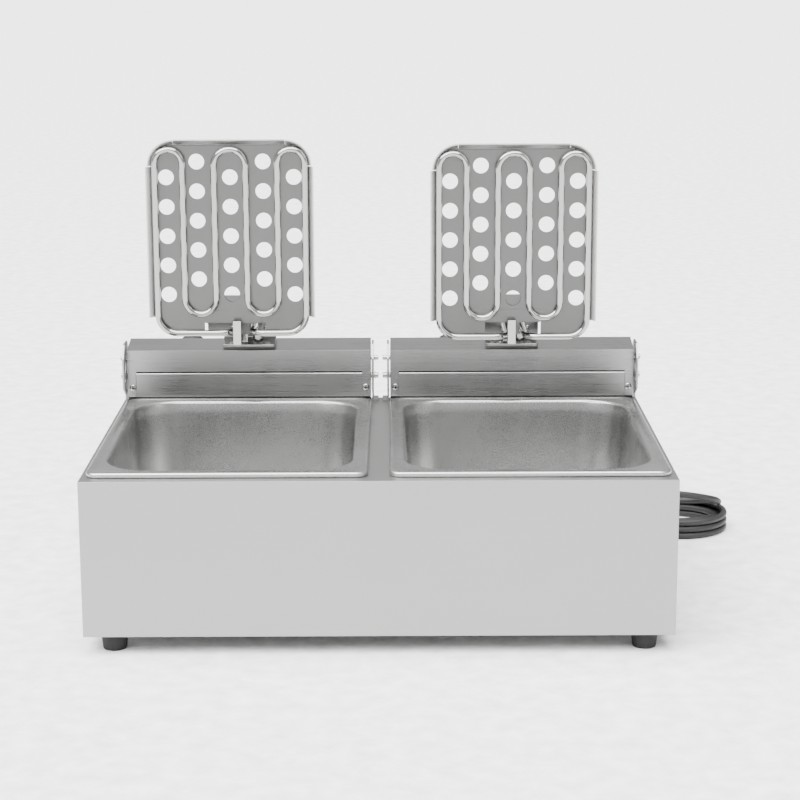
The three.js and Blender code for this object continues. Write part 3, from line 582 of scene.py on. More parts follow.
class Finishes:
    """Every finish of the machine, each built once."""

    SHEET = Steel("brushed_casing_steel", (0.33, 0.33, 0.326), 0.36, Grain.ACROSS, 0.02, 0.03, 0.02)
    TANK = Steel("satin_tank_steel", (0.44, 0.44, 0.435), 0.26, Grain.SATIN, 0.01, 0.004, 0.02)
    HEAD = Steel("brushed_head_steel", (0.30, 0.30, 0.297), 0.28, Grain.ACROSS, 0.015, 0.004, 0.02)
    PLATE = Steel("matt_plate_steel", (0.135, 0.135, 0.133), 0.34, Grain.UPRIGHT, 0.03, 0.02)
    # Much lighter than the plate and head steel that the rims and the seam's bead are folded from: a painted highlight
    # on them.
    RIM_HIGHLIGHT = Steel("rim_steel_painted_highlight", (0.66, 0.66, 0.65), 0.42, Grain.SATIN, 0.04, 0.01)
    TUBE = Steel("bright_tube_steel", (0.38, 0.38, 0.37), 0.12, Grain.SATIN, 0.03, 0.01)
    FIXING = Steel("turned_fixing_steel", (0.42, 0.42, 0.41), 0.2, Grain.SATIN, 0.05, 0.05)
    GASKET = Moulded("pressed_gasket", (0.10, 0.10, 0.095), 0.75)
    RUBBER = Moulded("black_foot_rubber", (0.006, 0.006, 0.006), 0.7)
    SHEATH = Moulded("cord_sheath", (0.009, 0.009, 0.0095), 0.55, 900.0)
    PLASTIC = Moulded("black_moulding", (0.010, 0.010, 0.011), 0.55)
    CERAMIC = Moulded("glazed_ceramic", (0.72, 0.69, 0.60), 0.35)
    # A near-black finish put where only shade falls: painted shade in the head's seam and in the screws' recesses.
    SHADOW = Moulded("painted_shade_dark", (0.004, 0.004, 0.004), 0.9)
    MARK = Moulded("white_marking", (0.80, 0.80, 0.78), 0.45)
    GREEN = Moulded("green_lens", (0.03, 0.32, 0.08), 0.14, 300.0, 0.05, 1.0)
    RED = Moulded("red_lens", (0.50, 0.02, 0.015), 0.14, 300.0, 0.05, 1.0)
    BUTTON = Moulded("red_button", (0.48, 0.025, 0.018), 0.30)
    FLOOR = Moulded("pale_floor", (0.82, 0.82, 0.82), 0.85, 3.0, 0.0)

    _built: dict[str, bpy.types.Material] = {}

    @classmethod
    def dress(cls, piece: bpy.types.Object, finish: Steel | Moulded) -> None:
        """Gives a piece one finish all over.

        Args:
            piece: the piece.
            finish: its finish.
        """
        if finish.name not in cls._built:
            cls._built[finish.name] = finish.build()
        piece.data.materials.clear()
        piece.data.materials.append(cls._built[finish.name])


def settle(
    piece: bpy.types.Object,
    body: str,
    slot: str,
    finish: Steel | Moulded,
    *nodes: str,
) -> bpy.types.Object:
    """Dresses a piece, lets it ride on its body and reports it.

    Args:
        piece: the piece, in place.
        body: the body that it rides on.
        slot: the record's material slot; not used.
        finish: its finish.
        nodes: the CAD nodes that it stands for.

    Returns:
        The same piece.
    """
    Finishes.dress(piece, finish)
    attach(piece, body)
    if nodes:
        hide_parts(*nodes)
    log.info("%s on %s, %d points", piece.name, body, len(piece.data.vertices))
    return piece


# ------------------------------------------------------------------ fixings


def cross_screw(radius: float, height: float, shank: float) -> list[Patch]:
    """A pan-head screw, local Z out: a domed head on a plain shank. The painted shade of its recess is a piece of its
    own.

    Args:
        radius: the head's radius.
        height: the head's height.
        shank: the length below the seat.

    Returns:
        Its patches.
    """
    dome = np.linspace(0, np.pi / 2, 7)
    head = [(radius * np.cos(a), height * (0.35 + 0.65 * np.sin(a))) for a in dome[:-1]]
    profile = [(0, -shank), (radius * 0.5, -shank), (radius * 0.5, 0), (radius, 0), *head, (0, height)]
    return [turned(profile, 28)]


def recess_shade_cross(radius: float, height: float) -> list[Patch]:
    """Painted shade of a screw's driver recess: a cross of two crossed bars just proud of the head, dressed near-black
    by add_screws.
    """
    arm, half = radius * 0.58, radius * 0.13
    outline = [
        (arm, -half), (arm, half), (half, half), (half, arm), (-half, arm), (-half, half),
        (-arm, half), (-arm, -half), (-half, -half), (-half, -arm), (half, -arm), (half, -half),
    ]
    return [prism(outline, height * 0.75, height + 0.06 * MM)]


def add_screws(
    name: str,
    body: str,
    places: Sequence[np.ndarray],
    radius: float,
    height: float,
    shank: float,
    nodes: Sequence[str] = (),
) -> None:
    """A set of like screws, each with a near-black cross on its head as the painted shade of its recess.

    Args:
        name: the pieces' name.
        body: the body they ride on.
        places: a placing matrix for each screw.
        radius: head radius.
        height: head height.
        shank: length below the seat.
        nodes: the CAD nodes that they stand for.
    """
    heads = [patch.placed(place) for place in places for patch in cross_screw(radius, height, shank)]
    settle(new_piece(name, heads), body, "rod_steel", Finishes.FIXING, *nodes)
    # The recesses are painted shade: a near-black cross standing proud on each head.
    marks = [patch.placed(place) for place in places for patch in recess_shade_cross(radius, height)]
    settle(new_piece(f"{name}_recess", marks), body, "gasket", Finishes.SHADOW)


def hex_nut(across: float, height: float) -> Patch:
    """A hexagonal nut: a six-sided prism whose corners are taken off at the top by a cone."""
    ring = circle(across / math.sqrt(3), 6)
    rows = [(0.0, 1.0), (height * 0.8, 1.0), (height, 0.86)]
    points = np.stack([np.column_stack([ring * factor, np.full(6, z)]) for z, factor in rows])
    return grid_patch(points, capped=True)


# ------------------------------------------------------------------ casing


@dataclass
class Casing:
    """The folded sheet casing with its feet, back louvres and brackets."""

    fold: float = 1.1 * MM
    foot_top: float = 13.0 * MM
    foot_bottom: float = 11.5 * MM
    foot_height: float = 17.7 * MM
    louvre_width: float = 62.0 * MM
    louvre_pitch: float = 12.0 * MM
    louvre_rows: int = 6
    bracket_foot: float = 9.0 * MM
    bracket_front: float = -28.0 * MM
    bracket_back: float = 12.0 * MM
    bracket_step: float = -19.0 * MM
    bracket_top: float = 38.0 * MM
    bracket_low: float = -26.7 * MM
    bracket_sheet: float = 2.0 * MM
    bracket_chamfer: float = 6.0 * MM
    lip_start: float = 19.0 * MM
    lip_stop: float = 37.0 * MM
    overlap: float = 0.1 * MM
    pivot_hole: float = 3.3 * MM
    latch_hole: float = 2.8 * MM
    latch_reach: float = 19.5 * MM

    def build(self) -> None:
        """Makes the shell, the panels, the feet and the brackets."""
        settle(refined("body_shell", self.fold, 3), "base", "casing_steel", Finishes.SHEET)
        for node in ("back_panel", "bottom_plate"):
            Finishes.dress(frame["nodes"][node], Finishes.SHEET)
        self.make_feet()
        self.make_louvres()
        for side in Side:
            for end in ("inner", "outer"):
                self.make_bracket(side, end)

    def make_feet(self) -> None:
        """Tapered rubber feet, each with a rounded lower edge and a screw well."""
        r, b, h, edge = self.foot_top, self.foot_bottom, self.foot_height, 1.2 * MM
        profile = [
            (0, 4 * MM), (3.5 * MM, 4 * MM), (4 * MM, 3.6 * MM), (4 * MM, 0.4 * MM), (4.4 * MM, 0),
            (b - edge, 0), (b - edge * 0.3, edge * 0.3), (b, edge), (r, h - edge),
            (r - edge * 0.3, h - edge * 0.3), (r - edge, h), (0, h),
        ]
        for end in ("front", "back"):
            for side in Side:
                node = f"foot_{end}_{side.value}"
                low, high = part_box(node)
                centre = ((low.x + high.x) / 2, (low.y + high.y) / 2, low.z)
                foot = new_piece(f"{node}_rubber", [turned(profile, 56).placed(upright(centre))])
                settle(foot, "base", "foot_rubber", Finishes.RUBBER, node)

    def make_louvres(self) -> None:
        """Two stacks of pressed louvres in the back panel: half-round ridges with closed ends."""
        low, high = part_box("back_panel")
        lengthwise = np.linspace(-1, 1, 25)
        crosswise = np.linspace(-np.pi / 2, np.pi / 2, 9)
        rise = np.sqrt(np.clip(1 - lengthwise**8, 0, 1))[:, None]
        ridge = np.empty((25, 9, 3))
        ridge[..., 0] = lengthwise[:, None] * self.louvre_width / 2
        ridge[..., 1] = -2.6 * MM * rise * np.cos(crosswise)[None]
        ridge[..., 2] = 2.6 * MM * np.sin(crosswise)[None] * rise
        patches = []
        for side in Side:
            for row in range(self.louvre_rows):
                z = low.z + 40 * MM + row * self.louvre_pitch
                x = side.sign * 140 * MM
                moved = ridge * (1, -1, 1) + (x, high.y - 0.1 * MM, z)
                patches.append(grid_patch(moved, wrap_across=True))
        settle(new_piece("back_louvres", patches, 60), "base", "casing_steel", Finishes.SHEET)
        places = [
            facing_back((x, high.y, z))
            for x in (low.x + 8 * MM, 0, high.x - 8 * MM)
            for z in (low.z + 8 * MM, high.z - 8 * MM)
        ]
        add_screws("back_panel_screws", "base", places, 3 * MM, 1.2 * MM, 3 * MM)

    def latch_slot(self) -> np.ndarray:
        """The latch rod's slot: a quarter circle about the pivot, with round ends.

        Returns:
            The outline's points, as (y, z) from the pivot.
        """
        angle = np.linspace(np.pi / 2, np.pi, 25)
        arm = np.column_stack([np.cos(angle), np.sin(angle)])
        reach, half = self.latch_reach, self.latch_hole
        turn = np.linspace(0, np.pi, 9)[1:-1]
        bow, run = half * np.sin(turn), half * np.cos(turn)
        low_end = np.column_stack([-reach - run, -bow])
        high_end = np.column_stack([bow, reach - run])
        return np.concatenate([(reach + half) * arm, low_end, (reach - half) * arm[::-1], high_end])

    def make_bracket(self, side: Side, end: str) -> None:
        """One bracket plate with its pivot hole and the latch rod's arc slot.

        Args:
            side: the head that it carries.
            end: inner, which has a lip on the deck, or outer.
        """
        node = f"bracket_{side.value}_{end}"
        low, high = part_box(node)
        pivot = joint_place(f"head_{side.value}_tilt")
        lip_on_left = end == "inner" and side is Side.RIGHT
        x = high.x - self.bracket_sheet if lip_on_left else low.x
        step, front, back, top = self.bracket_step, self.bracket_front, self.bracket_back, self.bracket_top
        chamfer = self.bracket_chamfer
        corners = [
            (-self.bracket_foot, self.bracket_low), (self.bracket_foot, self.bracket_low),
            (self.bracket_foot, step), (back, step + chamfer), (back, top - chamfer),
            (back - chamfer, top), (front + 10 * MM, top), (front, top - 14 * MM),
            (front, step + 10 * MM), (-self.bracket_foot, step),
        ]
        plate = sheet([np.array(corners), circle(self.pivot_hole, 32), self.latch_slot()], self.bracket_sheet)
        patches = [plate.placed(along_x((x, pivot.y, pivot.z)))]
        if end == "inner":
            reach = self.bracket_sheet - self.overlap
            start = low.x if lip_on_left else low.x + reach
            stop = high.x - reach if lip_on_left else high.x
            near, far = low.y + self.lip_start, low.y + self.lip_stop
            strip = [(start, near), (stop, near), (stop, far), (start, far)]
            patches.append(prism(strip, low.z, low.z + self.bracket_sheet))
        settle(new_piece(f"{node}_plate", patches, 20), "base", "head_steel", Finishes.HEAD, node)


def joint_place(name: str) -> Vector:
    """A hinge's own place from the record."""
    joint = next(each for each in frame["record"]["behaviour"]["joints"] if each["name"] == name)
    return Vector(joint["pos_m"])


# ------------------------------------------------------------------ tanks


@dataclass
class Tank:
    """A pressed tank: its outline is rounder at the mouth than at the rim, and its walls lean in."""

    side: Side
    rim: float = 15.0 * MM
    rim_radius: float = 12.0 * MM
    mouth_radius: float = 45.0 * MM
    lip: float = 3.0 * MM
    wall: float = 1.0 * MM
    height: float = 100.0 * MM
    taper: float = 6.0 * MM
    floor_radius: float = 16.0 * MM
    skirt: float = 4.7 * MM
    steps: int = 20

    def level(self, reach: float, radius: float, z: float) -> np.ndarray:
        """The outline that stands out from the mouth by reach, at height z.

        Args:
            reach: outwards from the mouth.
            radius: the corners' radius.
            z: height from the rim's top.

        Returns:
            The outline's points.
        """
        outline = rounded_rectangle(self.mouth[0] + 2 * reach, self.mouth[1] + 2 * reach, radius, self.steps)
        return np.column_stack([outline, np.full(len(outline), z)])

    def wall_levels(self, offset: float, lift: float) -> list[np.ndarray]:
        """The wall and the floor's round from the mouth down, on a skin set out by offset."""
        drop = self.floor_radius
        levels = []
        for z in np.linspace(-self.lip, -self.height + drop, 8):
            lean = self.taper * -z / (self.height - drop)
            levels.append(self.level(offset - lean, self.mouth_radius - lean / 2, z))
        for angle in np.linspace(0, np.pi / 2, 9)[1:]:
            inward = self.taper + drop * (1 - math.cos(angle))
            z = -self.height + drop - (drop - lift) * math.sin(angle)
            levels.append(self.level(offset - inward, self.mouth_radius - inward * 0.75, z))
        return levels

    def build(self) -> None:
        """Makes the tank as one closed skin from the outside of its floor to the inside."""
        node = f"tank_{self.side.value}"
        low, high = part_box(node)
        size = high - low
        self.mouth = (size.x - 2 * self.rim, size.y - 2 * self.rim)
        outside = self.wall_levels(self.wall, 0.0)[::-1]
        inside = self.wall_levels(0.0, self.wall)
        under = [
            self.level(self.wall + 0.5 * MM, self.mouth_radius, -self.wall - 0.4 * MM),
            self.level(self.rim - 2.6 * MM, self.rim_radius - 2 * MM, -self.wall),
            self.level(self.rim - self.wall, self.rim_radius - self.wall, -2.6 * MM),
            self.level(self.rim - self.wall, self.rim_radius - self.wall, -self.skirt + 0.2 * MM),
        ]
        edge = [self.level(self.rim - 0.5 * MM, self.rim_radius, -self.skirt)]
        edge.append(self.level(self.rim, self.rim_radius, -self.skirt + 0.4 * MM))
        for angle in np.linspace(0, np.pi / 2, 7):
            round_over = 2.2 * MM
            z = -round_over + round_over * math.sin(angle)
            reach = self.rim - round_over * (1 - math.cos(angle))
            edge.append(self.level(reach, self.rim_radius, z))
        top = [
            self.level(self.rim - 5 * MM, self.rim_radius, 0.0),
            self.level(self.rim - 6 * MM, self.rim_radius + 2 * MM, -0.5 * MM),
            self.level(self.lip + 1.5 * MM, self.mouth_radius, -0.5 * MM),
        ]
        for angle in np.linspace(0.1, np.pi / 2, 6)[:-1]:
            reach = self.lip * (1 - math.sin(angle))
            z = -0.5 * MM - (self.lip - 0.5 * MM) * (1 - math.cos(angle))
            top.append(self.level(reach, self.mouth_radius, z))
        rings = np.stack([*outside, *under, *edge, *top, *inside])
        middle = ((low.x + high.x) / 2, (low.y + high.y) / 2, high.z)
        skin = grid_patch(rings, capped=True).placed(upright(middle))
        settle(new_piece(f"{node}_skin", [skin], 40), node, "tank_steel", Finishes.TANK, node)


# ------------------------------------------------------------------ heads


@dataclass
class Head:
    """A heater head: box, rods, flange, element, perforated plate, controls and cable gland.

    Sizes are from the pivot with the head raised: x right, y back, z up.
    """

    side: Side
    shift: float
    lift: float
    half_width: float = 132.0 * MM
    seam: float = 6.0 * MM
    front: float = -11.0 * MM
    screw_inset: float = 5.5 * MM
    screw_drop: float = 17.0 * MM
    rod_reach: float = 140.3 * MM
    pivot_radius: float = 3.0 * MM
    latch_radius: float = 2.5 * MM
    latch_reach: float = 19.5 * MM
    shoulder: tuple[float, float] = (-11.0 * MM, 30.0 * MM)
    ridge: tuple[float, float] = (24.0 * MM, 37.0 * MM)
    panel_foot: tuple[float, float] = (56.0 * MM, -2.0 * MM)
    flange: tuple[float, float] = (57.0 * MM, 27.0 * MM)
    tube_radius: float = 3.25 * MM
    tube_plane: float = -92.0 * MM
    stem_spread: float = 9.3 * MM
    stem_back: float = 8.0 * MM
    plate_half: float = 79.0 * MM
    plate_top: float = 257.5 * MM
    plate_bottom: float = 58.5 * MM
    hole_radius: float = 8.0 * MM
    hole_pitch: float = 30.4 * MM
    columns: tuple[tuple[float, float], ...] = field(
        default=((-65.5, 223.9), (-34.0, 239.9), (0.0, 223.9), (34.0, 239.9), (65.5, 223.9))
    )

    def __post_init__(self) -> None:
        """Finds the head's own frames."""
        self.pivot = joint_place(f"head_{self.side.value}_tilt")
        self.body = f"head_{self.side.value}"
        back, drop = np.subtract(self.panel_foot, self.ridge)
        length = math.hypot(back, drop)
        self.panel_normal = (0.0, -drop / length, back / length)
        self.panel_down = (0.0, back / length, drop / length)
        run, rise = np.subtract(self.ridge, self.shoulder)
        length = math.hypot(run, rise)
        self.strip_normal = (0.0, -rise / length, run / length)
        self.strip_back = (0.0, run / length, rise / length)

    def name(self, part: str) -> str:
        """A part's own node name on this side."""
        return f"{part}_{self.side.value}"

    def at(self, x: float, y: float, z: float) -> tuple[float, float, float]:
        """A place from the pivot, in the frame."""
        return (self.pivot.x + x, self.pivot.y + y, self.pivot.z + z)

    def on_panel(self, x: float) -> np.ndarray:
        """The frame of a control on the sloping panel: local Z out, local Y down the slope."""
        middle_y = (self.ridge[0] + self.panel_foot[0]) / 2
        middle_z = (self.ridge[1] + self.panel_foot[1]) / 2
        return basis(self.at(x, middle_y, middle_z), (1, 0, 0), self.panel_down, self.panel_normal)

    def on_strip(self, height: float) -> np.ndarray:
        """The frame of the flange's strip, so far above its sheet."""
        middle_y = (self.shoulder[0] + self.ridge[0]) / 2
        middle_z = (self.shoulder[1] + self.ridge[1]) / 2
        origin = np.array(self.at(0, middle_y, middle_z)) + height * np.array(self.strip_normal)
        return basis(origin, (1, 0, 0), self.strip_back, self.strip_normal)

    def build(self) -> None:
        """Makes the whole head."""
        self.make_box()
        self.make_rods()
        self.make_flange()
        self.make_element()
        self.make_plate()
        self.make_controls()
        self.make_gland()

    def make_box(self) -> None:
        """The folded cover and tray, their screws and the parts inside."""
        settle(refined(self.name("head_cover"), 0.9 * MM, 3), self.body, "head_steel", Finishes.HEAD)
        settle(refined(self.name("head_tray"), 0.5 * MM, 2), self.body, "head_steel", Finishes.HEAD)
        settle(refined(self.name("terminal_block"), 0.8 * MM), self.body, "ceramic", Finishes.CERAMIC)
        settle(refined(self.name("thermostat"), 0.6 * MM), self.body, "ceramic", Finishes.CERAMIC)
        # A near-black bar in the seam between cover and tray: painted shade.
        inner = self.half_width - 9.4 * MM
        gap = prism([(self.front - 0.12 * MM, 5.0 * MM), (self.front + 1 * MM, 5.0 * MM),
                     (self.front + 1 * MM, 6.7 * MM), (self.front - 0.12 * MM, 6.7 * MM)], -inner, inner)
        shadow = new_piece(f"seam_gap_shade_{self.side.value}", [gap.placed(along_x(tuple(self.pivot)))])
        settle(shadow, self.body, "gasket", Finishes.SHADOW)
        # A steel bead just below the seam, dressed in the lighter rim steel: a real bead with a painted highlight.
        bead = circle(0.6 * MM, 12, (self.front - 0.1 * MM, 4.4 * MM))
        lip = new_piece(f"seam_lip_{self.side.value}", [prism(bead, -inner, inner).placed(along_x(tuple(self.pivot)))])
        settle(lip, self.body, "rod_steel", Finishes.RIM_HIGHLIGHT)
        places = [
            facing_front(self.at(end * (self.half_width - self.screw_inset), self.front, self.seam - self.screw_drop))
            for end in (-1, 1)
        ]
        nodes = [f"cover_screw_{self.side.value}_{end}" for end in "ab"]
        add_screws(f"cover_screws_{self.side.value}", self.body, places, 3.8 * MM, 2.0 * MM, 5 * MM, nodes)

    def make_rods(self) -> None:
        """The pivot and latch rods, chamfered, each with a clip outside the brackets."""
        for part, radius, z in (
            ("pivot_rod", self.pivot_radius, 0.0),
            ("latch_rod", self.latch_radius, self.latch_reach),
        ):
            reach = self.rod_reach
            edge = 0.5 * MM
            profile = [
                (0, -reach), (radius - edge, -reach), (radius, -reach + edge),
                (radius, reach - edge), (radius - edge, reach), (0, reach),
            ]
            patches = [turned(profile, 32).placed(along_x(self.at(0, 0, z)))]
            for end in (-1, 1):
                clip = radius + 1.1 * MM
                ring = [(0, -0.4 * MM), (clip, -0.4 * MM), (clip, 0.4 * MM), (0, 0.4 * MM)]
                patches.append(turned(ring, 24).placed(along_x(self.at(end * (reach - 3.6 * MM), 0, z))))
            rod = new_piece(f"{self.name(part)}_turned", patches)
            settle(rod, self.body, "rod_steel", Finishes.FIXING, self.name(part))

    def make_flange(self) -> None:
        """The element's flange on its gasket, the stems' nuts and the upstand's screws."""
        width, depth = self.flange
        outline = rounded_rectangle(width, depth, 3 * MM, 6)
        slope = self.strip_normal[1]
        for part, seat, thickness, slot, finish in (
            ("flange_gasket", 0.3 * MM, 2.0 * MM, "gasket", Finishes.GASKET),
            ("element_flange", 2.6 * MM, 2.5 * MM, "rod_steel", Finishes.FIXING),
        ):
            offset = self.stem_back - 6.5 * MM - (seat + thickness / 2) * slope
            holes = [circle(self.tube_radius + 0.9 * MM, 24, (end * self.stem_spread, offset)) for end in (-1, 1)]
            plate = sheet([outline, *holes], thickness).placed(self.on_strip(seat))
            settle(new_piece(f"{self.name(part)}_cut", [plate], 20), self.body, slot, finish, self.name(part))
        nuts = []
        for end in (-1, 1):
            washer_at = upright(self.at(end * self.stem_spread, self.stem_back, 40.2 * MM))
            nut_at = upright(self.at(end * self.stem_spread, self.stem_back, 41.1 * MM))
            bore, rim, top = self.tube_radius + 0.05 * MM, 5.6 * MM, 0.8 * MM
            washer = [(bore, 0), (rim, 0), (rim, top), (bore, top), (bore, 0)]
            nuts.append(turned(washer, 32).placed(washer_at))
            nuts.append(hex_nut(10.0 * MM, 4.0 * MM).placed(nut_at))
        settle(new_piece(f"stem_nuts_{self.side.value}", nuts), self.body, "rod_steel", Finishes.FIXING)
        strap_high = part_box(self.name("panel_strap"))[1]
        places = [
            facing_front((self.pivot.x + x, strap_high.y - 1.2 * MM, self.pivot.z + 49 * MM))
            for x in (-19 * MM, 19 * MM)
        ]
        add_screws(f"strap_screws_{self.side.value}", self.body, places, 3.4 * MM, 2.0 * MM, 1.0 * MM)

    def tube_line(self) -> np.ndarray:
        """The element's centre line from stem to stem, mirrored about the panel's own middle."""
        outer, middle, inner = 77.0 * MM, 48.5 * MM, 16.3 * MM
        run, top, low = 62.0 * MM + self.lift, 252.5 * MM + self.lift, 82.0 * MM + self.lift
        plane, spread = self.tube_plane, self.stem_spread
        half = [
            ((spread, self.stem_back, run), 14.0 * MM),
            ((spread, plane, run), 14.0 * MM),
            ((self.shift + outer, plane, run), 20.0 * MM),
            ((self.shift + outer, plane, top), (outer - middle) / 2),
            ((self.shift + middle, plane, top), (outer - middle) / 2),
            ((self.shift + middle, plane, low), (middle - inner) / 2),
            ((self.shift + inner, plane, low), (middle - inner) / 2),
            ((self.shift + inner, plane, top), inner),
        ]
        mirrored = [
            (((-x if i < 2 else 2 * self.shift - x), y, z), radius)
            for i, ((x, y, z), radius) in enumerate(half)
        ]
        inner_corners = mirrored + half[::-1]
        foot = 24.0 * MM
        corners = [
            (-spread, self.stem_back, foot),
            *(place for place, _ in inner_corners),
            (spread, self.stem_back, foot),
        ]
        radii = [radius - 0.001 * MM for _, radius in inner_corners]
        return bent_line(corners, radii) + np.array(self.pivot)

    def make_element(self) -> None:
        """The bent element."""
        line = self.tube_line()
        tube = new_piece(f"{self.name('heating_element')}_tube", [swept(line, self.tube_radius, 24)], 60)
        settle(tube, self.body, "tube_steel", Finishes.TUBE, self.name("heating_element"))

    def make_plate(self) -> None:
        """The perforated plate with its slanted rims, the strap behind it and the bulb's guard."""
        half, radius = self.plate_half, 22.0 * MM
        low, high = self.plate_bottom + self.lift, self.plate_top + self.lift
        notch, notch_top = 29.0 * MM, 75.0 * MM
        outline = rounded_rectangle(2 * half, high - low, radius, 10) + (self.shift, (high + low) / 2)
        third = len(outline) * 3 // 4
        elbow = 24.0 * MM
        left, right = min(self.shift - notch, -elbow), max(self.shift + notch, elbow)
        cut = np.array([(left, low), (left, notch_top), (right, notch_top), (right, low)])
        outline = np.concatenate([outline[:third], cut, outline[third:]])
        holes = [
            circle(self.hole_radius, 40, (self.shift + x * MM, self.lift + top * MM - row * self.hole_pitch))
            for x, top in self.columns
            for row in range(5)
        ]
        face = self.tube_plane + self.tube_radius + 0.3 * MM
        thickness = 1.2 * MM
        back = face + thickness
        flat = sheet([outline, *holes], thickness).placed(facing_front(self.at(0, back, 0)))
        patches = [flat]
        # The rims are dressed in the lighter rim steel: a painted highlight on the slanted rims.
        rims = new_piece(f"plate_rims_{self.side.value}", self.rim_patches(half, high, radius, face, back), 20)
        settle(rims, self.body, "plate_steel", Finishes.RIM_HIGHLIGHT)
        leaf = [(-31 * MM, 76 * MM), (31 * MM, 76 * MM), (31 * MM, 88 * MM), (-31 * MM, 88 * MM)]
        leaf_face = facing_front(self.at(self.shift, face - 0.05 * MM, 0))
        patches.append(sheet([np.array(leaf)], 0.5 * MM, 0.1 * MM).placed(leaf_face))
        plate = new_piece(f"{self.name('perforated_plate')}_sheet", patches, 20)
        settle(plate, self.body, "plate_steel", Finishes.PLATE, self.name("perforated_plate"))
        settle(refined(self.name("panel_strap"), 0.25 * MM), self.body, "plate_steel", Finishes.PLATE)
        settle(refined(self.name("bulb_guard"), 0.3 * MM), self.body, "plate_steel", Finishes.TUBE)

    def rim_patches(self, half: float, high: float, radius: float, face: float, back: float) -> list[Patch]:
        """The slanted rims: one section carried up both sides, along the top and round the top corners.

        Args:
            half: half the flat plate's width.
            high: the flat plate's upper edge.
            radius: its corners' radius.
            face: the place of its front.
            back: the place of its back.

        Returns:
            The rims' patches.
        """

        def section(reach: float) -> np.ndarray:
            """(outward, y) of the rim from its root to its free edge and back."""
            root, sheet_depth, forward = 0.8 * MM, 1.2 * MM, 6.5 * MM
            return np.array([
                (-root, back), (-root, face), (0, face), (reach - sheet_depth, face - forward),
                (reach, face - forward), (sheet_depth, back),
            ])

        patches = []
        for end in (-1, 1):
            points = (section(7 * MM) + (half, 0)) * (end, 1) + (self.pivot.x + self.shift, self.pivot.y)
            bottom = self.pivot.z + self.lift
            patches.append(prism(points, bottom + 79 * MM, bottom + 235 * MM))
        top = section(5.7 * MM)[:, ::-1] + (0, high)
        top_rim = prism(top, self.shift - 57 * MM, self.shift + 57 * MM)
        patches.append(top_rim.placed(along_x(tuple(self.pivot))))
        corner = section(5.2 * MM)
        angle = np.linspace(math.radians(1), math.radians(89), 19)[:, None]
        for end in (-1, 1):
            arc = np.empty((19, len(corner), 3))
            arc[..., 0] = self.shift + end * (half - radius + (radius + corner[None, :, 0]) * np.cos(angle))
            arc[..., 1] = corner[None, :, 1]
            arc[..., 2] = high - radius + (radius + corner[None, :, 0]) * np.sin(angle)
            patches.append(grid_patch(arc + np.array(self.pivot), capped=True))
        return patches

    def make_controls(self) -> None:
        """The knob with its dial, the reset button and the two lamps on the sloping panel."""
        self.make_knob(-66.0 * MM)
        for part, x, finish, slot in (
            ("lamp_power", 20.0 * MM, Finishes.GREEN, "lens_green"),
            ("lamp_heat", 50.0 * MM, Finishes.RED, "lens_red"),
        ):
            dome = [(5.5 * MM * math.cos(a), (1.4 + 2.1 * math.sin(a)) * MM) for a in np.linspace(0, 1.5, 8)]
            stem = [(r * MM, z * MM) for r, z in ((0, -14), (4.4, -14), (4.4, 0.3), (5.5, 0.3))]
            profile = [*stem, *dome, (0, 3.5 * MM)]
            lens = new_piece(f"{self.name(part)}_lens", [turned(profile, 36).placed(self.on_panel(x))])
            settle(lens, self.body, slot, finish, self.name(part))
        self.make_button(-15.0 * MM)

    def make_knob(self, x: float) -> None:
        """A ribbed knob: its radius swings with the angle, and its top is dished; with a pointer and dial.

        Args:
            x: across the head.
        """
        body = self.name("knob")
        height, sides, ribs = 16.0 * MM, 216, 18
        profile = np.array([
            (0, -13.2), (3, -13.2), (3, 1), (14.6, 1), (15.9, 1.6), (15.6, 3.6), (14.6, 4.4),
            (14.2, 14.4), (13.6, 15.5), (12.6, 16), (11.2, 16), (10.4, 15.5), (0, 15.3),
        ]) * MM
        angle = np.linspace(0, 2 * np.pi, sides, endpoint=False)
        ribbed = ((profile[:, 1] > 4 * MM) & (profile[:, 0] > 11 * MM))[:, None]
        swing = 1 - 0.035 * ribbed * (0.5 - 0.5 * np.cos(ribs * angle))[None] ** 3
        points = np.empty((len(profile), sides, 3))
        points[..., 0] = profile[:, :1] * swing * np.cos(angle)
        points[..., 1] = profile[:, :1] * swing * np.sin(angle)
        points[..., 2] = profile[:, 1:]
        knob = new_piece(f"{body}_moulding", [grid_patch(points).placed(self.on_panel(x))], 30)
        settle(knob, body, "black_plastic", Finishes.PLASTIC, body)
        half, tip, root = 0.7 * MM, -12.4 * MM, -5 * MM
        outline = [(-half, tip), (half, tip), (half, root), (-half, root)]
        bar = prism(outline, 15 * MM, height + 0.05 * MM)
        settle(new_piece(f"{body}_pointer", [bar.placed(self.on_panel(x))]), body, "ceramic", Finishes.MARK)
        turn = np.radians(np.linspace(-135, 135, 11))
        ticks = []
        for i, angle_at in enumerate(turn):
            reach = 20.5 * MM if i % 2 == 0 else 19.4 * MM
            out = np.array([math.sin(angle_at), -math.cos(angle_at)])
            across = np.array([out[1], -out[0]]) * 0.3 * MM
            inner = out * 17.6 * MM
            outer = out * reach
            ticks.append(prism([inner - across, outer - across, outer + across, inner + across], 0.01 * MM, 0.08 * MM))
        dial = new_piece(f"dial_marks_{self.side.value}", [tick.placed(self.on_panel(x)) for tick in ticks])
        settle(dial, self.body, "gasket", Finishes.GASKET)

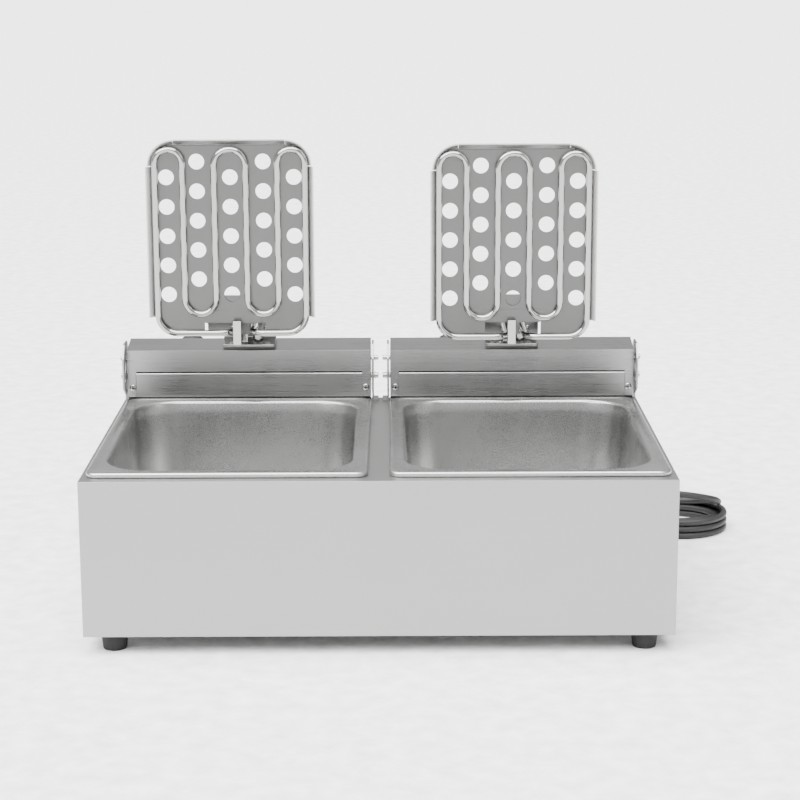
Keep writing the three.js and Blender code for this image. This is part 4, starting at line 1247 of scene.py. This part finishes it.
    def make_button(self, x: float) -> None:
        """The reset button and the threaded collar round it.

        Args:
            x: across the head.
        """
        body = self.name("reset_button")
        dome = [(3.6 * MM * math.cos(a), (2.6 + 1.2 * math.sin(a)) * MM) for a in np.linspace(0, 1.5, 7)]
        profile = [(0, -10 * MM), (3.6 * MM, -10 * MM), *dome, (0, 3.8 * MM)]
        button = new_piece(f"{body}_cap", [turned(profile, 32).placed(self.on_panel(x))])
        settle(button, body, "button_red", Finishes.BUTTON, body)
        section = [(4.3, 0.02), (6.5, 0.02), (6.5, 0.9), (5.9, 1.5), (4.3, 1.5), (4.3, 0.02)]
        ring = [(r * MM, z * MM) for r, z in section]
        collar = new_piece(f"reset_collar_{self.side.value}", [turned(ring, 36).placed(self.on_panel(x))])
        settle(collar, self.body, "rod_steel", Finishes.FIXING)

    def make_gland(self) -> None:
        """The cable gland, turned round: nut inside, body outside (hexagonal on the real gland) and a tapered, ribbed
        strain relief.
        """
        low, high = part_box(self.name("cable_gland"))
        centre = ((low.x + high.x) / 2, (low.y + high.y) / 2, self.pivot.z - 25 * MM)
        tail = np.linspace(-11.5, -34, 46)
        ribs = 0.45 * (np.sin((tail + 11.5) * 2 * np.pi / 3.2) > 0)
        taper = 7.0 + (tail + 11.5) / 22.5 * 1.5
        profile = [(0, -34 * MM), *[(float(r) * MM, float(z) * MM) for r, z in zip((taper - ribs)[::-1], tail[::-1])]]
        body = [(8, -10), (9, -8.8), (9, -0.3), (6, -0.3), (6, 1.5), (9, 1.5), (9, 5.5), (0, 5.5)]
        profile += [(r * MM, z * MM) for r, z in body]
        gland = new_piece(f"{self.name('cable_gland')}_moulding", [turned(profile, 36).placed(upright(centre))])
        settle(gland, self.body, "black_plastic", Finishes.PLASTIC, self.name("cable_gland"))


# ------------------------------------------------------------------ cords


@dataclass
class Cord:
    """A mains lead: free from its gland to the table, then wound into a round coil with its plug."""

    side: Side
    route: tuple[tuple[float, float, float], ...]
    coil: tuple[float, float]
    radius: float = 3.75 * MM
    coil_inner: float = 40.0 * MM
    layers: int = 3
    front: float = field(init=False)

    def __post_init__(self) -> None:
        """Finds the casing's front, from which the route is measured."""
        self.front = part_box("body_shell")[0].y

    def coil_line(self) -> np.ndarray:
        """The turns: down the inner column layer by layer, across, and up the outer column.

        Radius and height step from one turn to the next along a smooth ramp, and each ramp lies
        a little before the last one's angle, so that no turn runs through its neighbour.

        Returns:
            The line's points.
        """
        d = 2 * self.radius
        near, far = self.coil_inner + self.radius, self.coil_inner + self.radius + d
        heights = [self.radius + d * layer for layer in range(self.layers)]
        states = [(near, z) for z in reversed(heights)] + [(far, z) for z in heights]
        begin = math.asin(2 * MM / near)
        angle = np.linspace(begin, math.radians(1890), 330)
        radius = np.full_like(angle, states[0][0])
        height = np.full_like(angle, states[0][1])
        entry = np.clip((angle - begin) / math.radians(75), 0, 1)
        drop = self.route[-1][2] * MM - heights[-1]
        height += drop * (1 - entry * entry * (3 - 2 * entry))
        for step, (start, end) in enumerate(zip(states[:-1], states[1:])):
            turn_at = math.radians(360 * (step + 1) - 45 - 50 * step)
            along = np.clip((angle - turn_at) / math.radians(45), 0, 1)
            ease = along * along * (3 - 2 * along)
            radius += (end[0] - start[0]) * ease
            height += (end[1] - start[1]) * ease
        centre = np.array([self.coil[0] * MM, self.coil[1] * MM + self.front])
        flat = centre + radius[:, None] * np.column_stack([np.cos(angle), np.sin(angle)])
        return np.column_stack([flat, height])

    def build(self) -> None:
        name = self.side.value
        free = smooth_line([(x * MM, y * MM + self.front, z * MM) for x, y, z in self.route], 8)
        coil = self.coil_line()
        plug_low, plug_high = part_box(f"plug_{name}")
        outer = self.coil_inner + 4 * self.radius
        heading = np.array([-math.cos(math.radians(22)), math.sin(math.radians(22)), 0.0])
        plug_at = np.array([self.coil[0] * MM, self.coil[1] * MM + self.front + outer + 0.3 * MM + 4.75 * MM, 15 * MM])
        tail = smooth_line([coil[-1], plug_at + heading * 14 * MM - (0, 1.5 * MM, 0), plug_at + heading * 30 * MM], 8)
        line = np.concatenate([free[:-1], coil, tail[1:]])
        lead = new_piece(f"lead_{name}", [swept(line, self.radius, 16)], 60)
        plug = self.make_plug(plug_at, heading)
        Finishes.dress(lead, Finishes.SHEATH)
        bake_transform(lead)
        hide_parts(f"cord_{name}", f"cord_coil_{name}")

    def make_plug(self, place: np.ndarray, heading: np.ndarray) -> bpy.types.Object:
        """The moulded plug: ribbed relief, waisted round body and three pins.

        Args:
            place: the relief's tip.
            heading: the way that the pins point.

        Returns:
            The plug.
        """
        side = np.cross((0, 0, 1), heading)
        matrix = basis(place, side, np.cross(heading, side), heading)
        tail = np.linspace(0.4, 29.5, 60)
        ribs = 0.5 * (np.sin(tail * 2 * np.pi / 4.2) > 0)
        taper = 4.75 + 2 * tail / 30
        profile = [(0, 0), *[(float(r) * MM, float(z) * MM) for r, z in zip(taper - ribs, tail)]]
        body = [
            (7.5, 30.5), (12.4, 33.5), (14.2, 40), (14.8, 46), (13.6, 54),
            (13.4, 60), (14.2, 68), (14.6, 74.5), (14.0, 76), (0, 76),
        ]
        profile += [(r * MM, z * MM) for r, z in body]
        patches = [turned(profile, 40)]
        for x in (-6.35 * MM, 6.35 * MM):
            blade = rounded_rectangle(1.5 * MM, 6.3 * MM, 0.3 * MM, 3) + (x, -3.2 * MM)
            patches.append(prism(blade, 75 * MM, 92.5 * MM))
        earth = [(r * MM, z * MM) for r, z in ((0, 75), (2.35, 75), (2.35, 94), (1.4, 95.8), (0, 96))]
        patches.append(turned(earth, 20).placed(upright((0, 8 * MM, 0))))
        name = self.side.value
        moulding = new_piece(f"plug_{name}_moulding", [patches[0].placed(matrix)])
        settle(moulding, "base", "cord_rubber", Finishes.SHEATH, f"plug_{name}")
        pins = new_piece(f"plug_{name}_pins", [patch.placed(matrix) for patch in patches[1:]])
        settle(pins, "base", "rod_steel", Finishes.FIXING)
        return moulding


# ------------------------------------------------------------------ studio and camera


@dataclass
class Studio:
    """A pale seamless floor under soft light."""

    floor_size: float = 60.0
    sky: tuple[tuple[float, float], ...] = (
        (0.0, 0.9), (0.12, 0.85), (0.24, 0.9), (0.40, 0.45), (0.62, 1.1),
    )
    sun_power: float = 13.0
    sun_angle: float = 80.0
    sun_heading: tuple[float, float, float] = (0.25, 0.3, -0.92)
    aim: tuple[float, float, float] = (0.0, 0.0, 0.2)

    def build(self) -> None:
        """Makes the floor, the sky light and the softboxes."""
        half = self.floor_size / 2
        corners = np.array([[(-half, -half, 0), (half, -half, 0)], [(-half, half, 0), (half, half, 0)]])
        floor = new_piece("floor", [grid_patch(corners.astype(float), wrap_across=False)])
        Finishes.dress(floor, Finishes.FLOOR)
        world = bpy.data.worlds.new("studio")
        world.use_nodes = True
        bpy.context.scene.world = world
        tree = world.node_tree
        background = tree.nodes["Background"]
        place = tree.nodes.new("ShaderNodeTexCoord")
        split = tree.nodes.new("ShaderNodeSeparateXYZ")
        ramp = tree.nodes.new("ShaderNodeValToRGB")
        tree.links.new(place.outputs["Generated"], split.inputs["Vector"])
        tree.links.new(split.outputs["Z"], ramp.inputs["Fac"])
        tree.links.new(ramp.outputs["Color"], background.inputs["Color"])
        stops = ramp.color_ramp.elements
        for stop, (position, value) in zip(stops, (self.sky[0], self.sky[-1])):
            stop.position = position
            stop.color = (value, value, value, 1)
        for position, value in self.sky[1:-1]:
            stops.new(position).color = (value, value, value, 1)
        background.inputs["Strength"].default_value = 1.0
        self.softbox("key", (-1.3, -1.6, 2.2), 1.2, 22)
        self.softbox("fill", (1.8, -1.2, 1.5), 1.0, 8)
        sky = bpy.data.lights.new("skylight", "SUN")
        sky.energy = self.sun_power
        sky.angle = math.radians(self.sun_angle)
        panel = bpy.data.objects.new("skylight", sky)
        panel.rotation_euler = Vector(self.sun_heading).to_track_quat("-Z", "Y").to_euler()
        bpy.context.scene.collection.objects.link(panel)

    def softbox(self, name: str, place: tuple[float, float, float], size: float, power: float) -> None:
        """A square softbox aimed at the machine.

        Args:
            name: the light's name.
            place: where it stands.
            size: its side.
            power: in watts.
        """
        data = bpy.data.lights.new(name, "AREA")
        data.shape = "SQUARE"
        data.size = size
        data.energy = power
        light = bpy.data.objects.new(name, data)
        light.location = place
        heading = Vector(self.aim) - Vector(place)
        light.rotation_euler = heading.to_track_quat("-Z", "Y").to_euler()
        bpy.context.scene.collection.objects.link(light)


@dataclass
class Viewpoint:
    """The camera: in front of the machine, above its deck, looking down a little."""

    across: float = 0.0146
    before_front: float = 1.8531
    height: float = 0.6601
    pitch: float = 12.58
    turn: float = -0.169
    roll: float = -0.1735
    lens: float = 92.83

    def build(self) -> None:
        """Makes the camera and gives it to the scene."""
        data = bpy.data.cameras.new("viewpoint")
        data.lens = self.lens
        data.sensor_width = 36.0
        data.clip_end = 100
        camera = bpy.data.objects.new("viewpoint", data)
        bpy.context.scene.collection.objects.link(camera)
        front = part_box("body_shell")[0].y
        aim = Matrix.Rotation(math.radians(self.turn), 4, "Z") @ Matrix.Rotation(math.radians(90 - self.pitch), 4, "X")
        place = Matrix.Translation((self.across, front - self.before_front, self.height))
        camera.matrix_world = place @ aim @ Matrix.Rotation(math.radians(self.roll), 4, "Z")
        bpy.context.scene.camera = camera


# ------------------------------------------------------------------ the whole machine


LEFT_ROUTE = (
    (-47.5, 390, 137), (-47.5, 390, 107), (-54, 390, 80), (-70, 392, 58),
    (-90, 399, 45), (-103, 415, 35), (-106.3, 434, 27.2),
)
RIGHT_ROUTE = (
    (237.5, 390, 137), (237.5, 390, 107), (246, 390, 80), (272, 388, 60), (310, 388, 53),
    (348, 391, 48), (374, 401, 41), (383.5, 416, 34), (384.7, 434, 27.2),
)


def main() -> None:
    """Builds the camera, the light and every sub-assembly in order."""
    Viewpoint().build()
    Studio().build()
    Cord(Side.LEFT, LEFT_ROUTE, (-150, 432)).build()
    Cord(Side.RIGHT, RIGHT_ROUTE, (341, 432)).build()
    Casing().build()
    for side, shift, lift in ((Side.LEFT, -10.5 * MM, 2.5 * MM), (Side.RIGHT, -4 * MM, -2.5 * MM)):
        Tank(side).build()
        Head(side, shift, lift).build()


if __name__ == "__main__":
    main()
